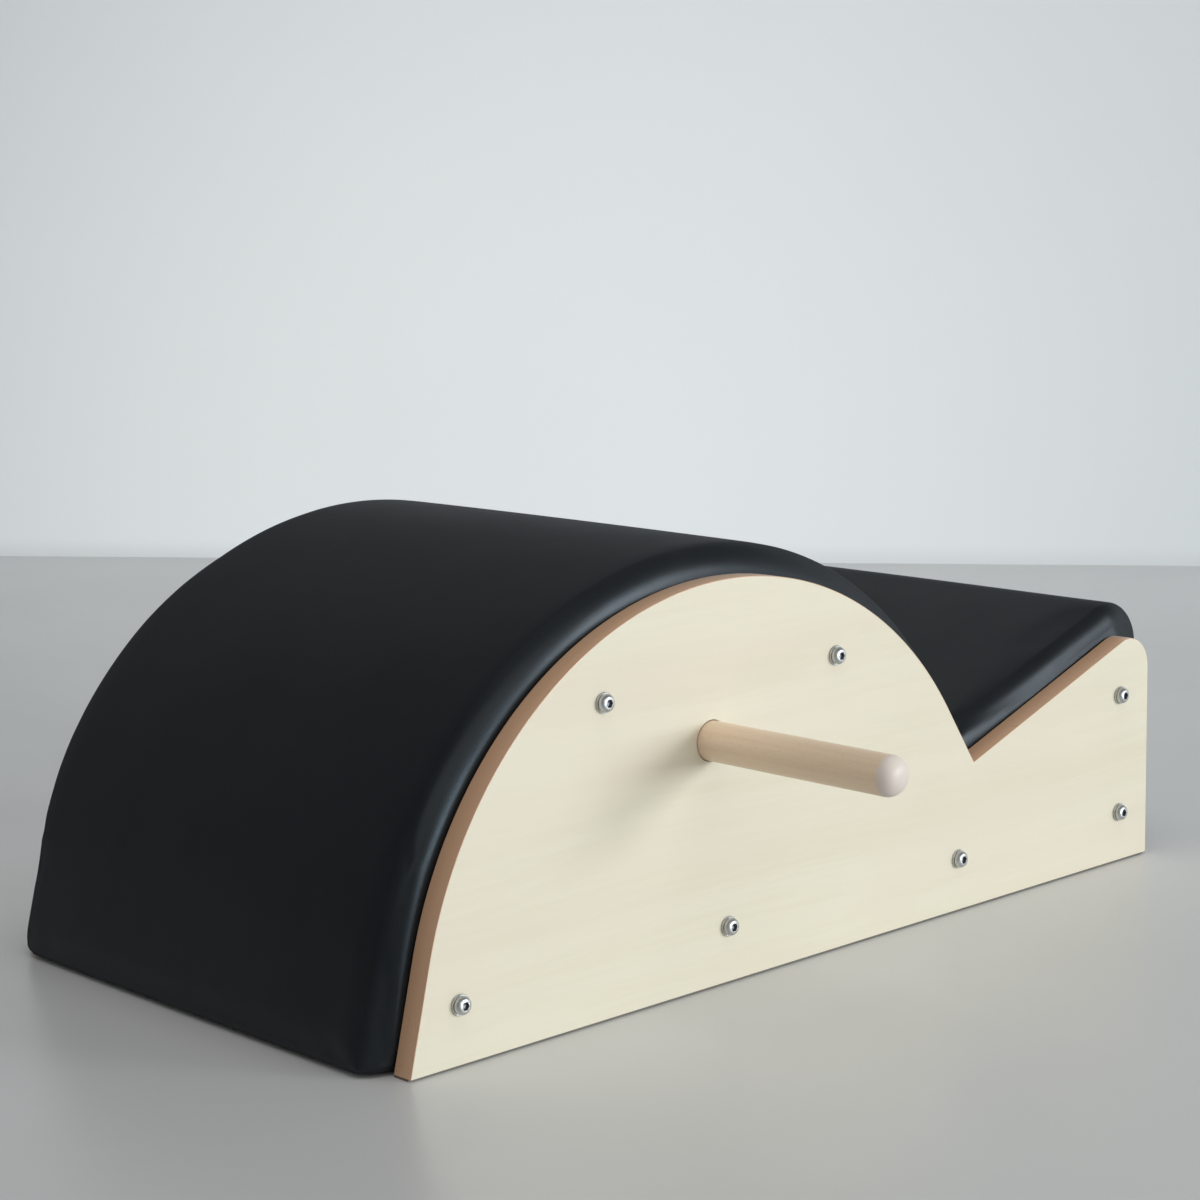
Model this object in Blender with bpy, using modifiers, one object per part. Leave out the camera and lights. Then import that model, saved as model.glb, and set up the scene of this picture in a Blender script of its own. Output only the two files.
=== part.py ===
"""Spine corrector: a padded barrel and a sloping padded seat between two side panels.

Units are metres and +Z is up. The object stands on z = 0, X runs from the barrel to the
step, and Y runs across, symmetric about y = 0. Outlines of the side view are written in
(x, z) from the barrel's own axis, and one parent empty then centres the whole object.
"""

import math

import bmesh
import bpy
from mathutils import Matrix, Vector

# Side panels: an arc that runs straight into the foot and into the valley, then the step.
BARREL_RADIUS = 0.301
BARREL_AXIS_HEIGHT = 0.005
FOOT_ANGLE = math.radians(76.0)
VALLEY_ANGLE = math.radians(56.5)
STEP_REACH = 0.5213
STEP_HEIGHT = 0.207
STEP_SLOPE = math.radians(19.8)
STEP_CORNER_RADIUS = 0.028
OVERALL_WIDTH = 0.480
PANEL_THICKNESS = 0.018
EDGE_BAND_THICKNESS = 0.001

# Clearances.
FIT = 0.0003
FLOOR_CLEARANCE = 0.004
BAND_FLOOR_CLEARANCE = 0.0005
PAD_SIDE_GAP = 0.002
PAD_MEETING_GAP = 0.001

# Padding, from the vinyl down to the boards that carry it.
PAD_RISE = 0.0225
PAD_CROWN = 0.0015
PAD_DRAW_IN = 0.0015
PAD_EDGE_RADIUS = 0.020
COVER_THICKNESS = 0.0012
FOAM_THICKNESS = 0.030
SHELL_THICKNESS = 0.009
SEAT_BOARD_THICKNESS = 0.012
PAD_END_ROUND = 0.008
PAD_END_DROP = 0.98 * PAD_END_ROUND
VALLEY_ROUND = 0.010
VALLEY_DROP = 0.9 * VALLEY_ROUND
PAD_CORNER_RADIUS = 0.040

# Cross members between the panels.
FOOT_RAIL_HEIGHT = 0.068
FOOT_RAIL_BACK = 0.020
CENTRE_RAIL_SIZE = 0.040
VALLEY_RAIL_WIDTH = 0.036
LEDGER_THICKNESS = 0.015
LEDGER_WIDTH = 0.104
CROWN_RAIL_WIDTH = 0.030
CROWN_RAIL_DEPTH = 0.044
END_RAIL_SIZE = 0.040

# Bolts through each panel, seven a side. Their insets are from the edge of the panel beside them,
# and the head's profile is in shares of its radius and height.
BOLT_ROW_HEIGHT = 0.0445
FOOT_BOLT_INSET = 0.034
CENTRE_BOLT_X = -0.004
VALLEY_BOLT_INSET = 0.020
CROWN_OUTER_BOLT_INSET = 0.040
CROWN_OUTER_BOLT_ANGLE = math.radians(-29.2)
CROWN_INNER_BOLT_INSET = 0.045
CROWN_INNER_BOLT_ANGLE = math.radians(27.1)
END_BOLT_INSET = 0.0405
END_BOLT_DROP = 0.045
BOLT_RADIUS = 0.004
BOLT_LENGTH = 0.060
BOLT_HEAD_RADIUS = 0.007
BOLT_HEAD_HEIGHT = 0.0044
BOLT_HEAD_PROFILE = ((0.0, 1.0), (0.5, 1.0), (0.88, 0.68), (1.0, 0.14), (1.0, 0.0))
HEX_SOCKET_ACROSS = 0.005
HEX_SOCKET_DEPTH = 0.0025
WASHER_RADIUS = 0.008
WASHER_THICKNESS = 0.0016
BORE_SPARE_DEPTH = 0.002

# Handles: a dowel a side that pulls out of a socket block.
HANDLE_X = -0.019
HANDLE_HEIGHT = 0.188
HANDLE_RADIUS = 0.015
HANDLE_REACH = 0.177
HANDLE_DEPTH = 0.040
HANDLE_END_ROUND = 0.005
HANDLE_END_DOME = 0.002
HANDLE_HOLE_RADIUS = 0.017
SOCKET_BLOCK_SIZE = 0.090
SOCKET_BLOCK_WALL = 0.006

# How finely round shapes are cut up.
PANEL_ARC_STEPS = 48
PAD_ARC_STEPS = 24
PAD_ROUND_STEPS = 4
PAD_TOP_STEPS = 3
CORNER_STEPS = 8
END_ROUND_SHARES = (1.0, 0.4, 0.15, 0.0)
VALLEY_ROUND_SHARES = (0.0, 0.3, 1.0)
PAD_CORNER_HALF_STEPS = 4
BOLT_SIDES = 16
HANDLE_SIDES = 24

# Levels of the layers, measured outwards from the panels' edge.
COVER_TOP = PAD_RISE
FOAM_TOP = COVER_TOP - COVER_THICKNESS - FIT
FOAM_BOTTOM = FOAM_TOP - FOAM_THICKNESS
BOARD_TOP = FOAM_BOTTOM - FIT
SHELL_BOTTOM = BOARD_TOP - SHELL_THICKNESS
SEAT_BOARD_BOTTOM = BOARD_TOP - SEAT_BOARD_THICKNESS
LEDGER_TOP = SEAT_BOARD_BOTTOM - FIT
LEDGER_BOTTOM = LEDGER_TOP - LEDGER_THICKNESS
COVER_WALL = COVER_THICKNESS + FIT

# Places across the width.
PANEL_OUTER = OVERALL_WIDTH / 2
PANEL_INNER = PANEL_OUTER - PANEL_THICKNESS
PAD_HALF_WIDTH = PANEL_INNER - PAD_SIDE_GAP
BOARD_HALF_WIDTH = PAD_HALF_WIDTH - PAD_DRAW_IN - COVER_WALL
RAIL_LENGTH = 2 * (PANEL_INNER - FIT)
SIDES = {"right": -1, "left": 1}

# The step's slope: its sharp upper corner, the way up it and the way out of it.
STEP_CORNER = Vector((STEP_REACH, STEP_HEIGHT))
STEP_ALONG = Vector((math.cos(STEP_SLOPE), math.sin(STEP_SLOPE)))
STEP_NORMAL = Vector((-math.sin(STEP_SLOPE), math.cos(STEP_SLOPE)))

MATERIALS = {
    "maple_board": ((0.78, 0.74, 0.63), 0.45, 0.0),
    "edge_band": ((0.31, 0.15, 0.085), 0.5, 0.0),
    "softwood": ((0.66, 0.50, 0.33), 0.6, 0.0),
    "plywood": ((0.62, 0.47, 0.30), 0.6, 0.0),
    "foam": ((0.55, 0.55, 0.50), 0.95, 0.0),
    "black_vinyl": ((0.013, 0.014, 0.015), 0.42, 0.0),
    "beech": ((0.54, 0.36, 0.22), 0.4, 0.0),
    "zinc_steel": ((0.66, 0.67, 0.68), 0.25, 1.0),
}


def direction(angle):
    """The unit vector at this angle from straight up, turning towards the step."""
    return Vector((math.sin(angle), math.cos(angle)))


def barrel_arc_point(angle, offset):
    """A point this far outside the panel's arc."""
    return Vector((0.0, BARREL_AXIS_HEIGHT)) + direction(angle) * (BARREL_RADIUS + offset)


def step_point(along, offset):
    """A point on the step's slope, measured up the slope from its sharp upper corner and out from it."""
    return STEP_CORNER + STEP_ALONG * along + STEP_NORMAL * offset


def step_height(x, offset):
    """The height of the slope's line, this far out from it, over x."""
    start = step_point(0.0, offset)
    return start.y + (x - start.x) * math.tan(STEP_SLOPE)


def foot_point(offset, z):
    """Where the straight run into the foot, this far outside the edge, comes down to height z."""
    top = barrel_arc_point(-FOOT_ANGLE, offset)
    return Vector((top.x - (top.y - z) / math.tan(FOOT_ANGLE), z))


def valley_point(offset, step_offset):
    """Where the straight run into the valley meets the slope's line, each this far outside its own edge."""
    top = barrel_arc_point(VALLEY_ANGLE, offset)
    run = Vector((math.cos(VALLEY_ANGLE), -math.sin(VALLEY_ANGLE)))
    above = (top - step_point(0.0, step_offset)).dot(STEP_NORMAL)
    return top + run * (above / -run.dot(STEP_NORMAL))


def barrel_edge(offset, foot_height, step_offset, steps):
    """The barrel's outline from the foot over the crown to the valley, as a list of points."""
    angles = [-FOOT_ANGLE + (FOOT_ANGLE + VALLEY_ANGLE) * i / steps for i in range(steps + 1)]
    arc = [barrel_arc_point(angle, offset) for angle in angles]
    return [foot_point(offset, foot_height)] + arc + [valley_point(offset, step_offset)]


def step_edge(offset, foot_height):
    """The step's outline from the valley up the slope, round the corner and down to the floor."""
    radius = STEP_CORNER_RADIUS
    centre_x = STEP_REACH - radius
    centre = Vector((centre_x, step_height(centre_x, 0.0) - radius / math.cos(STEP_SLOPE)))
    points = [valley_point(offset, offset)]
    for i in range(CORNER_STEPS + 1):
        angle = -STEP_SLOPE + (math.pi / 2 + STEP_SLOPE) * i / CORNER_STEPS
        points.append(centre + direction(angle) * (radius + offset))
    points.append(Vector((STEP_REACH + offset, foot_height)))
    return points


def shifted_towards(start, end, distance):
    """The point this far from start towards end."""
    return start + (end - start).normalized() * distance


def new_collection(name):
    collection = bpy.data.collections.new(name)
    bpy.context.scene.collection.children.link(collection)
    return collection


def new_material(name):
    colour, roughness, metallic = MATERIALS[name]
    material = bpy.data.materials.new(name)
    material.use_nodes = True
    shader = material.node_tree.nodes["Principled BSDF"]
    shader.inputs["Base Color"].default_value = (*colour, 1.0)
    shader.inputs["Roughness"].default_value = roughness
    shader.inputs["Metallic"].default_value = metallic
    return material


def new_object(name, mesh, material=None):
    """An object of the part, in its collection and under the frame. With no material it is a cutter."""
    obj = bpy.data.objects.new(name, mesh)
    obj.parent = frame
    if material:
        parts.objects.link(obj)
        if not mesh.materials:
            mesh.materials.append(materials[material])
    else:
        cutters.objects.link(obj)
        obj.hide_render = True
        obj.display_type = "WIRE"
    return obj


def baked_mesh(obj, name):
    """The object's evaluated mesh with loose caps welded. The object itself is removed."""
    graph = bpy.context.evaluated_depsgraph_get()
    mesh = bpy.data.meshes.new_from_object(obj.evaluated_get(graph))
    mesh.name = name
    old = obj.data
    bpy.data.objects.remove(obj)
    if isinstance(old, bpy.types.Mesh):
        bpy.data.meshes.remove(old)
    else:
        bpy.data.curves.remove(old)
    body = bmesh.new()
    body.from_mesh(mesh)
    bmesh.ops.remove_doubles(body, verts=body.verts, dist=1e-6)
    bmesh.ops.recalc_face_normals(body, faces=body.faces)
    body.to_mesh(mesh)
    body.free()
    return mesh


def slab(name, outline, y_centre, thickness, material):
    """A flat outline in (x, z), filled and extruded across the width."""
    curve = bpy.data.curves.new(name, "CURVE")
    curve.dimensions = "2D"
    curve.fill_mode = "BOTH"
    curve.extrude = thickness / 2
    spline = curve.splines.new("POLY")
    spline.points.add(len(outline) - 1)
    for point, corner in zip(spline.points, outline):
        point.co = (corner.x, corner.y, 0.0, 1.0)
    spline.use_cyclic_u = True
    guide = bpy.data.objects.new(name, curve)
    bpy.context.scene.collection.objects.link(guide)
    obj = new_object(name, baked_mesh(guide, name), material)
    obj.rotation_euler = (math.pi / 2, 0.0, 0.0)
    obj.location = (0.0, y_centre, 0.0)
    return obj


def bar(name, outline, material):
    """A cross member: this outline from panel to panel."""
    return slab(name, outline, 0.0, RAIL_LENGTH, material)


def box_outline(low_x, high_x, low_z, high_z):
    return [Vector(p) for p in ((low_x, low_z), (high_x, low_z), (high_x, high_z), (low_x, high_z))]


def turned_mesh(name, profile, sides):
    """A profile of (radius, height) points, top to bottom, turned about Z."""
    mesh = bpy.data.meshes.new(name)
    edges = [(i, i + 1) for i in range(len(profile) - 1)]
    mesh.from_pydata([(r, 0.0, z) for r, z in profile], edges, [])
    guide = bpy.data.objects.new(name, mesh)
    bpy.context.scene.collection.objects.link(guide)
    screw = guide.modifiers.new("turn", "SCREW")
    screw.steps = sides
    screw.render_steps = sides
    screw.use_merge_vertices = True
    screw.merge_threshold = 1e-5
    return baked_mesh(guide, name)


def smooth(mesh, angle=math.radians(40.0)):
    mesh.shade_smooth()
    mesh.set_sharp_from_angle(angle=angle)


def cylinders(name, radius, sides, places):
    """One cutter mesh of separate cylinders along Y, each given as (x, z, low y, high y)."""
    body = bmesh.new()
    for x, z, low, high in places:
        turn = Matrix.Translation((x, (low + high) / 2, z)) @ Matrix.Rotation(math.pi / 2, 4, "X")
        bmesh.ops.create_cone(
            body, cap_ends=True, segments=sides, radius1=radius, radius2=radius, depth=high - low, matrix=turn
        )
    mesh = bpy.data.meshes.new(name)
    body.to_mesh(mesh)
    body.free()
    return new_object(name, mesh)


def cut(obj, cutter):
    modifier = obj.modifiers.new(cutter.name, "BOOLEAN")
    modifier.operation = "DIFFERENCE"
    modifier.solver = "EXACT"
    modifier.object = cutter


def pad_section(half_width, low, high):
    """Half of a pad's cross section as (y, level): drawn-in side, rounded edge, crowned top, up to the middle."""
    radius = PAD_EDGE_RADIUS - (COVER_TOP - high)
    flat = half_width - radius
    points = [(half_width - PAD_DRAW_IN, low)]
    for i in range(PAD_ROUND_STEPS + 1):
        angle = math.pi / 2 * i / PAD_ROUND_STEPS
        points.append((flat + radius * math.cos(angle), high - radius + radius * math.sin(angle)))
    for i in range(1, PAD_TOP_STEPS + 1):
        y = flat * (1 - i / PAD_TOP_STEPS)
        points.append((y, high + PAD_CROWN * (1 - (y / flat) ** 2)))
    return points


def loft(name, place, stations, half_width, low, high, material, hollow):
    """A pad swept through stations of (parameter, drop of its top), each a cross section squeezed to fit.

    place(parameter, level) gives the point of the side view. A hollow pad is its top, sides and
    ends only, an open tray that then gets the cover's thickness inwards.
    """
    half = pad_section(half_width, low, high)
    section = [(-y, level) for y, level in half] + [(y, level) for y, level in reversed(half[:-1])]
    mesh = bpy.data.meshes.new(name)
    body = bmesh.new()
    rings = []
    for parameter, drop in stations:
        squeeze = (high - drop - low) / (high - low)
        ring = []
        for y, level in section:
            point = place(parameter, low + (level - low) * squeeze)
            ring.append(body.verts.new((point.x, y, point.y)))
        rings.append(ring)
    sides = len(section)
    for ring, following in zip(rings, rings[1:]):
        for i in range(sides - 1 if hollow else sides):
            j = (i + 1) % sides
            body.faces.new((ring[i], ring[j], following[j], following[i]))
    body.faces.new(rings[0])
    body.faces.new(list(reversed(rings[-1])))
    bmesh.ops.recalc_face_normals(body, faces=body.faces)
    middle = max(body.faces, key=lambda face: face.calc_center_median().z)
    if middle.normal.z < 0:
        bmesh.ops.reverse_faces(body, faces=body.faces)
    body.to_mesh(mesh)
    body.free()
    obj = new_object(name, mesh, material)
    if hollow:
        skin = obj.modifiers.new("vinyl", "SOLIDIFY")
        skin.thickness = COVER_THICKNESS
        skin.offset = -1.0
        skin.use_even_offset = True
    smooth(mesh)
    return obj


def round_over(length, depth, distance):
    """How far a quarter-ellipse end has dropped, this far in from the end."""
    if distance >= length:
        return 0.0
    return depth * (1 - math.sqrt(1 - ((length - distance) / length) ** 2))


def end_stations(run, inset, ends_at):
    """Stations of a pad's lower end, which rounds over to its last edge, as its parameter nears ends_at."""
    way = 1 if ends_at > 0 else -1
    length = PAD_END_ROUND - inset
    stations = []
    for share in END_ROUND_SHARES:
        distance = length * share
        stations.append((ends_at - way * distance / run, round_over(length, PAD_END_DROP - inset, distance)))
    return stations


def barrel_place(inset):
    """The side view of a barrel layer whose two ends are set in by this much.

    The parameter is -1 at the foot, 0 to 1 over the arc and 2 in the valley.
    """

    def place(parameter, level):
        if parameter < 0:
            end = foot_point(level, FLOOR_CLEARANCE + inset)
            return barrel_arc_point(-FOOT_ANGLE, level).lerp(end, -parameter)
        if parameter > 1:
            end = valley_point(level, SEAT_BOARD_BOTTOM + inset)
            return barrel_arc_point(VALLEY_ANGLE, level).lerp(end, parameter - 1)
        return barrel_arc_point(-FOOT_ANGLE + (FOOT_ANGLE + VALLEY_ANGLE) * parameter, level)

    return place


def barrel_stations(inset):
    """Stations of a barrel pad: its rounded foot, the arc, and its plain end in the valley."""
    place = barrel_place(inset)
    run = (place(0.0, COVER_TOP) - place(-1.0, COVER_TOP)).length
    stations = end_stations(run, inset, -1)[::-1]
    stations += [(i / PAD_ARC_STEPS, 0.0) for i in range(PAD_ARC_STEPS + 1)]
    stations.append((2.0, 0.0))
    return stations


def pad_corner_point(angle, level):
    """A point of the arc that takes the seat's pad from the slope down the end, by its angle from straight up."""
    inside = COVER_TOP - PAD_CORNER_RADIUS
    x = STEP_REACH + inside
    centre = Vector((x, step_height(x, inside)))
    return centre + direction(angle) * (level - inside)


def seat_place(inset):
    """The side view of a seat layer whose two ends are set in by this much.

    The parameter is 0 in the valley, 1 to 2 round the upper corner and 3 at the floor.
    """

    def place(parameter, level):
        if parameter < 1:
            start = valley_point(COVER_TOP + PAD_CROWN + PAD_MEETING_GAP + inset, level)
            return start.lerp(pad_corner_point(-STEP_SLOPE, level), parameter)
        if parameter > 2:
            end = Vector((STEP_REACH + level, FLOOR_CLEARANCE + inset))
            return pad_corner_point(math.pi / 2, level).lerp(end, parameter - 2)
        return pad_corner_point(-STEP_SLOPE + (math.pi / 2 + STEP_SLOPE) * (parameter - 1), level)

    return place


def seat_stations(inset):
    """Stations of a seat pad: rounded in the valley, up the slope, over the corner and down to its rounded end."""
    place = seat_place(inset)
    slope_run = (place(1.0, COVER_TOP) - place(0.0, COVER_TOP)).length
    stations = []
    length = VALLEY_ROUND - inset
    for share in VALLEY_ROUND_SHARES:
        distance = length * share
        stations.append((distance / slope_run, round_over(length, VALLEY_DROP - inset, distance)))
    stations.append((0.5, 0.0))
    stations += [(1 + i / PAD_CORNER_HALF_STEPS / 2, 0.0) for i in range(2 * PAD_CORNER_HALF_STEPS + 1)]
    stations.append((2.5, 0.0))
    end_run = (place(3.0, COVER_TOP) - place(2.0, COVER_TOP)).length
    return stations + end_stations(end_run, inset, 3)


def make_side(side, sign):
    """One side panel with its two edge bands, its handle and the block that the handle plugs into."""
    y_centre = sign * (PANEL_OUTER - PANEL_THICKNESS / 2)
    inset = -EDGE_BAND_THICKNESS - FIT
    outline = barrel_edge(inset, 0.0, inset, PANEL_ARC_STEPS) + step_edge(inset, 0.0)[1:]
    panel = slab(f"side_panel_{side}", outline, y_centre, PANEL_THICKNESS, "maple_board")
    cut(panel, bolt_bores)
    cut(panel, handle_holes)

    for name, edge in (
        ("barrel", lambda offset: barrel_edge(offset, BAND_FLOOR_CLEARANCE, offset, PANEL_ARC_STEPS)),
        ("step", lambda offset: step_edge(offset, BAND_FLOOR_CLEARANCE)),
    ):
        outer = edge(0.0)
        inner = edge(-EDGE_BAND_THICKNESS)
        valley, neighbour = (-1, -2) if name == "barrel" else (0, 1)
        for points in (outer, inner):
            points[valley] = shifted_towards(points[valley], points[neighbour], FIT)
        slab(f"{name}_edge_band_{side}", outer + inner[::-1], y_centre, PANEL_THICKNESS, "edge_band")

    half = SOCKET_BLOCK_SIZE / 2
    outline = box_outline(HANDLE_X - half, HANDLE_X + half, HANDLE_HEIGHT - half, HANDLE_HEIGHT + half)
    thickness = HANDLE_DEPTH + SOCKET_BLOCK_WALL
    y_block = sign * (PANEL_INNER - FIT - thickness / 2)
    block = slab(f"socket_block_{side}", outline, y_block, thickness, "softwood")
    cut(block, socket_bores)

    handle = new_object(f"handle_{side}", handle_mesh, "beech")
    handle.location = (HANDLE_X, sign * PANEL_OUTER, HANDLE_HEIGHT)
    handle.rotation_euler = (-sign * math.pi / 2, 0.0, 0.0)


def make_cross_members():
    low = FLOOR_CLEARANCE
    level = SHELL_BOTTOM - COVER_WALL
    back = bolt_places["foot"].x + FOOT_RAIL_BACK
    top = low + FOOT_RAIL_HEIGHT
    outline = [foot_point(level, low), Vector((back, low)), Vector((back, top)), foot_point(level, top)]
    rails = [bar("foot_rail", outline, "softwood")]

    x, z = bolt_places["centre"]
    half = CENTRE_RAIL_SIZE / 2
    rails.append(bar("centre_rail", box_outline(x - half, x + half, z - half, z + half), "softwood"))

    x = bolt_places["valley"].x
    left, right = x - VALLEY_RAIL_WIDTH / 2, x + VALLEY_RAIL_WIDTH / 2
    top = LEDGER_BOTTOM - FIT
    outline = [Vector((left, low)), Vector((right, low))]
    outline += [Vector((right, step_height(right, top))), Vector((left, step_height(left, top)))]
    rails.append(bar("valley_rail", outline, "softwood"))

    start = (Vector((left, step_height(left, LEDGER_TOP))) - STEP_CORNER).dot(STEP_ALONG)
    outline = [step_point(start, LEDGER_BOTTOM), step_point(start + LEDGER_WIDTH, LEDGER_BOTTOM)]
    outline += [step_point(start + LEDGER_WIDTH, LEDGER_TOP), step_point(start, LEDGER_TOP)]
    bar("valley_ledger", outline, "softwood")

    for name, angle in (("crown_outer", CROWN_OUTER_BOLT_ANGLE), ("crown_inner", CROWN_INNER_BOLT_ANGLE)):
        outward = direction(angle)
        across = Vector((outward.y, -outward.x)) * (CROWN_RAIL_WIDTH / 2)
        half_step = (FOOT_ANGLE + VALLEY_ANGLE) / PAD_ARC_STEPS / 2
        reach = (BARREL_RADIUS + SHELL_BOTTOM) * math.cos(half_step) - FIT
        face = math.sqrt(reach**2 - (CROWN_RAIL_WIDTH / 2) ** 2)
        axis = Vector((0.0, BARREL_AXIS_HEIGHT))
        outer = axis + outward * face
        inner = axis + outward * (face - CROWN_RAIL_DEPTH)
        outline = [inner - across, inner + across, outer + across, outer - across]
        rails.append(bar(f"{name}_rail", outline, "softwood"))

    right = STEP_REACH + SEAT_BOARD_BOTTOM - FIT
    left = right - END_RAIL_SIZE
    x, z = bolt_places["end_low"]
    half = END_RAIL_SIZE / 2
    rails.append(bar("end_rail_lower", box_outline(left, right, z - half, z + half), "softwood"))

    x, z = bolt_places["end_high"]
    top = LEDGER_TOP
    outline = [Vector((left, z - half)), Vector((right, z - half))]
    outline += [Vector((right, step_height(right, top))), Vector((left, step_height(left, top)))]
    rails.append(bar("end_rail_upper", outline, "softwood"))

    for rail in rails:
        cut(rail, bolt_bores)


def make_barrel_padding():
    """A bent shell over the rails, its foam, and the vinyl that wraps both."""
    place = barrel_place(COVER_WALL)
    path = [-1.0] + [i / PAD_ARC_STEPS for i in range(PAD_ARC_STEPS + 1)] + [2.0]
    outline = [place(share, BOARD_TOP) for share in path]
    outline += [place(share, SHELL_BOTTOM) for share in reversed(path)]
    slab("barrel_shell", outline, 0.0, 2 * BOARD_HALF_WIDTH, "plywood")
    foam = barrel_stations(COVER_WALL)
    loft("barrel_foam", place, foam, PAD_HALF_WIDTH - COVER_WALL, FOAM_BOTTOM, FOAM_TOP, "foam", False)
    cover = barrel_stations(0.0)
    loft("barrel_cover", barrel_place(0.0), cover, PAD_HALF_WIDTH, SHELL_BOTTOM, COVER_TOP, "black_vinyl", True)


def make_seat_padding():
    """A seat board and an end board, mitred at the upper corner, with one foam and one vinyl cover."""
    place = seat_place(COVER_WALL)
    corner_x = STEP_REACH + SEAT_BOARD_BOTTOM
    inner_corner = Vector((corner_x, step_height(corner_x, SEAT_BOARD_BOTTOM)))
    half_arc = [i / PAD_CORNER_HALF_STEPS / 2 for i in range(PAD_CORNER_HALF_STEPS + 1)]
    outline = [place(0.0, BOARD_TOP)] + [place(1 + share, BOARD_TOP) for share in half_arc]
    outline += [inner_corner, place(0.0, SEAT_BOARD_BOTTOM)]
    slab("seat_board", outline, 0.0, 2 * BOARD_HALF_WIDTH, "plywood")

    mitre = direction((math.pi / 2 - STEP_SLOPE) / 2)
    gap = Vector((mitre.y, -mitre.x)) * FIT
    outline = [inner_corner + gap, place(1.5, BOARD_TOP) + gap]
    outline += [place(1.5 + share, BOARD_TOP) for share in half_arc[1:]]
    outline += [place(3.0, BOARD_TOP), place(3.0, SEAT_BOARD_BOTTOM)]
    slab("end_board", outline, 0.0, 2 * BOARD_HALF_WIDTH, "plywood")

    foam = seat_stations(COVER_WALL)
    loft("seat_foam", place, foam, PAD_HALF_WIDTH - COVER_WALL, FOAM_BOTTOM, FOAM_TOP, "foam", False)
    cover = seat_stations(0.0)
    loft("seat_cover", seat_place(0.0), cover, PAD_HALF_WIDTH, SEAT_BOARD_BOTTOM, COVER_TOP, "black_vinyl", True)


def make_fasteners():
    """A button-head bolt on a flat washer at each bolt's place, both sides."""
    profile = [(r * BOLT_HEAD_RADIUS, z * BOLT_HEAD_HEIGHT) for r, z in BOLT_HEAD_PROFILE]
    profile += [(BOLT_RADIUS, 0.0), (BOLT_RADIUS, -BOLT_LENGTH), (0.0, -BOLT_LENGTH)]
    blank = new_object("bolt_blank", turned_mesh("bolt_blank", profile, BOLT_SIDES))
    body = bmesh.new()
    bmesh.ops.create_cone(
        body,
        cap_ends=True,
        segments=6,
        radius1=HEX_SOCKET_ACROSS / math.sqrt(3),
        radius2=HEX_SOCKET_ACROSS / math.sqrt(3),
        depth=2 * HEX_SOCKET_DEPTH,
        matrix=Matrix.Translation((0.0, 0.0, BOLT_HEAD_HEIGHT)),
    )
    key_mesh = bpy.data.meshes.new("hex_key")
    body.to_mesh(key_mesh)
    body.free()
    key = new_object("hex_key", key_mesh)
    cut(blank, key)
    bolt_mesh = baked_mesh(blank, "bolt")
    bpy.data.objects.remove(key)
    smooth(bolt_mesh)

    hole = BOLT_RADIUS + FIT
    profile = [(hole, WASHER_THICKNESS), (WASHER_RADIUS, WASHER_THICKNESS), (WASHER_RADIUS, 0.0), (hole, 0.0)]
    washer_mesh = turned_mesh("washer", profile + profile[:1], BOLT_SIDES)
    smooth(washer_mesh)

    for side, sign in SIDES.items():
        for name, (x, z) in bolt_places.items():
            turn = (-sign * math.pi / 2, 0.0, 0.0)
            washer = new_object(f"washer_{side}_{name}", washer_mesh, "zinc_steel")
            washer.location = (x, sign * (PANEL_OUTER + FIT), z)
            washer.rotation_euler = turn
            bolt = new_object(f"bolt_{side}_{name}", bolt_mesh, "zinc_steel")
            bolt.location = (x, sign * (PANEL_OUTER + 2 * FIT + WASHER_THICKNESS), z)
            bolt.rotation_euler = turn


def make_handle_mesh():
    """A dowel turned about Z with its origin where it leaves the panel: a domed end and a chamfered root."""
    radius = HANDLE_RADIUS
    flat = radius - HANDLE_END_ROUND
    profile = [(0.0, HANDLE_REACH)]
    shoulder = HANDLE_REACH - HANDLE_END_DOME
    for i in range(4):
        angle = math.pi / 2 * (1 - i / 3)
        r = flat + HANDLE_END_ROUND * math.cos(angle)
        profile.append((r, shoulder - HANDLE_END_ROUND * (1 - math.sin(angle))))
    root = -PANEL_THICKNESS - HANDLE_DEPTH
    chamfer = HANDLE_END_DOME
    profile += [(radius, root + chamfer), (radius - chamfer, root), (0.0, root)]
    mesh = turned_mesh("handle", profile, HANDLE_SIDES)
    smooth(mesh)
    return mesh


for old in list(bpy.data.objects):
    bpy.data.objects.remove(old, do_unlink=True)

parts = new_collection("spine_corrector")
cutters = new_collection("cutters")
materials = {name: new_material(name) for name in MATERIALS}

# The frame's place along X puts the middle of the padded length over the origin.
foot_end = foot_point(COVER_TOP + PAD_CROWN, FLOOR_CLEARANCE + PAD_END_ROUND)
step_end = STEP_REACH + COVER_TOP + PAD_CROWN
frame = bpy.data.objects.new("spine_corrector_frame", None)
frame.location = (-(foot_end.x + step_end) / 2, 0.0, 0.0)
parts.objects.link(frame)

end_bolt_x = STEP_REACH - END_BOLT_INSET
bolt_places = {
    "foot": foot_point(0.0, BOLT_ROW_HEIGHT) + Vector((FOOT_BOLT_INSET, 0.0)),
    "centre": Vector((CENTRE_BOLT_X, BOLT_ROW_HEIGHT)),
    "valley": Vector((valley_point(0.0, 0.0).x - VALLEY_BOLT_INSET, BOLT_ROW_HEIGHT)),
    "crown_outer": barrel_arc_point(CROWN_OUTER_BOLT_ANGLE, -CROWN_OUTER_BOLT_INSET),
    "crown_inner": barrel_arc_point(CROWN_INNER_BOLT_ANGLE, -CROWN_INNER_BOLT_INSET),
    "end_low": Vector((end_bolt_x, BOLT_ROW_HEIGHT)),
    "end_high": Vector((end_bolt_x, step_height(end_bolt_x, 0.0) - END_BOLT_DROP)),
}


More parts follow.
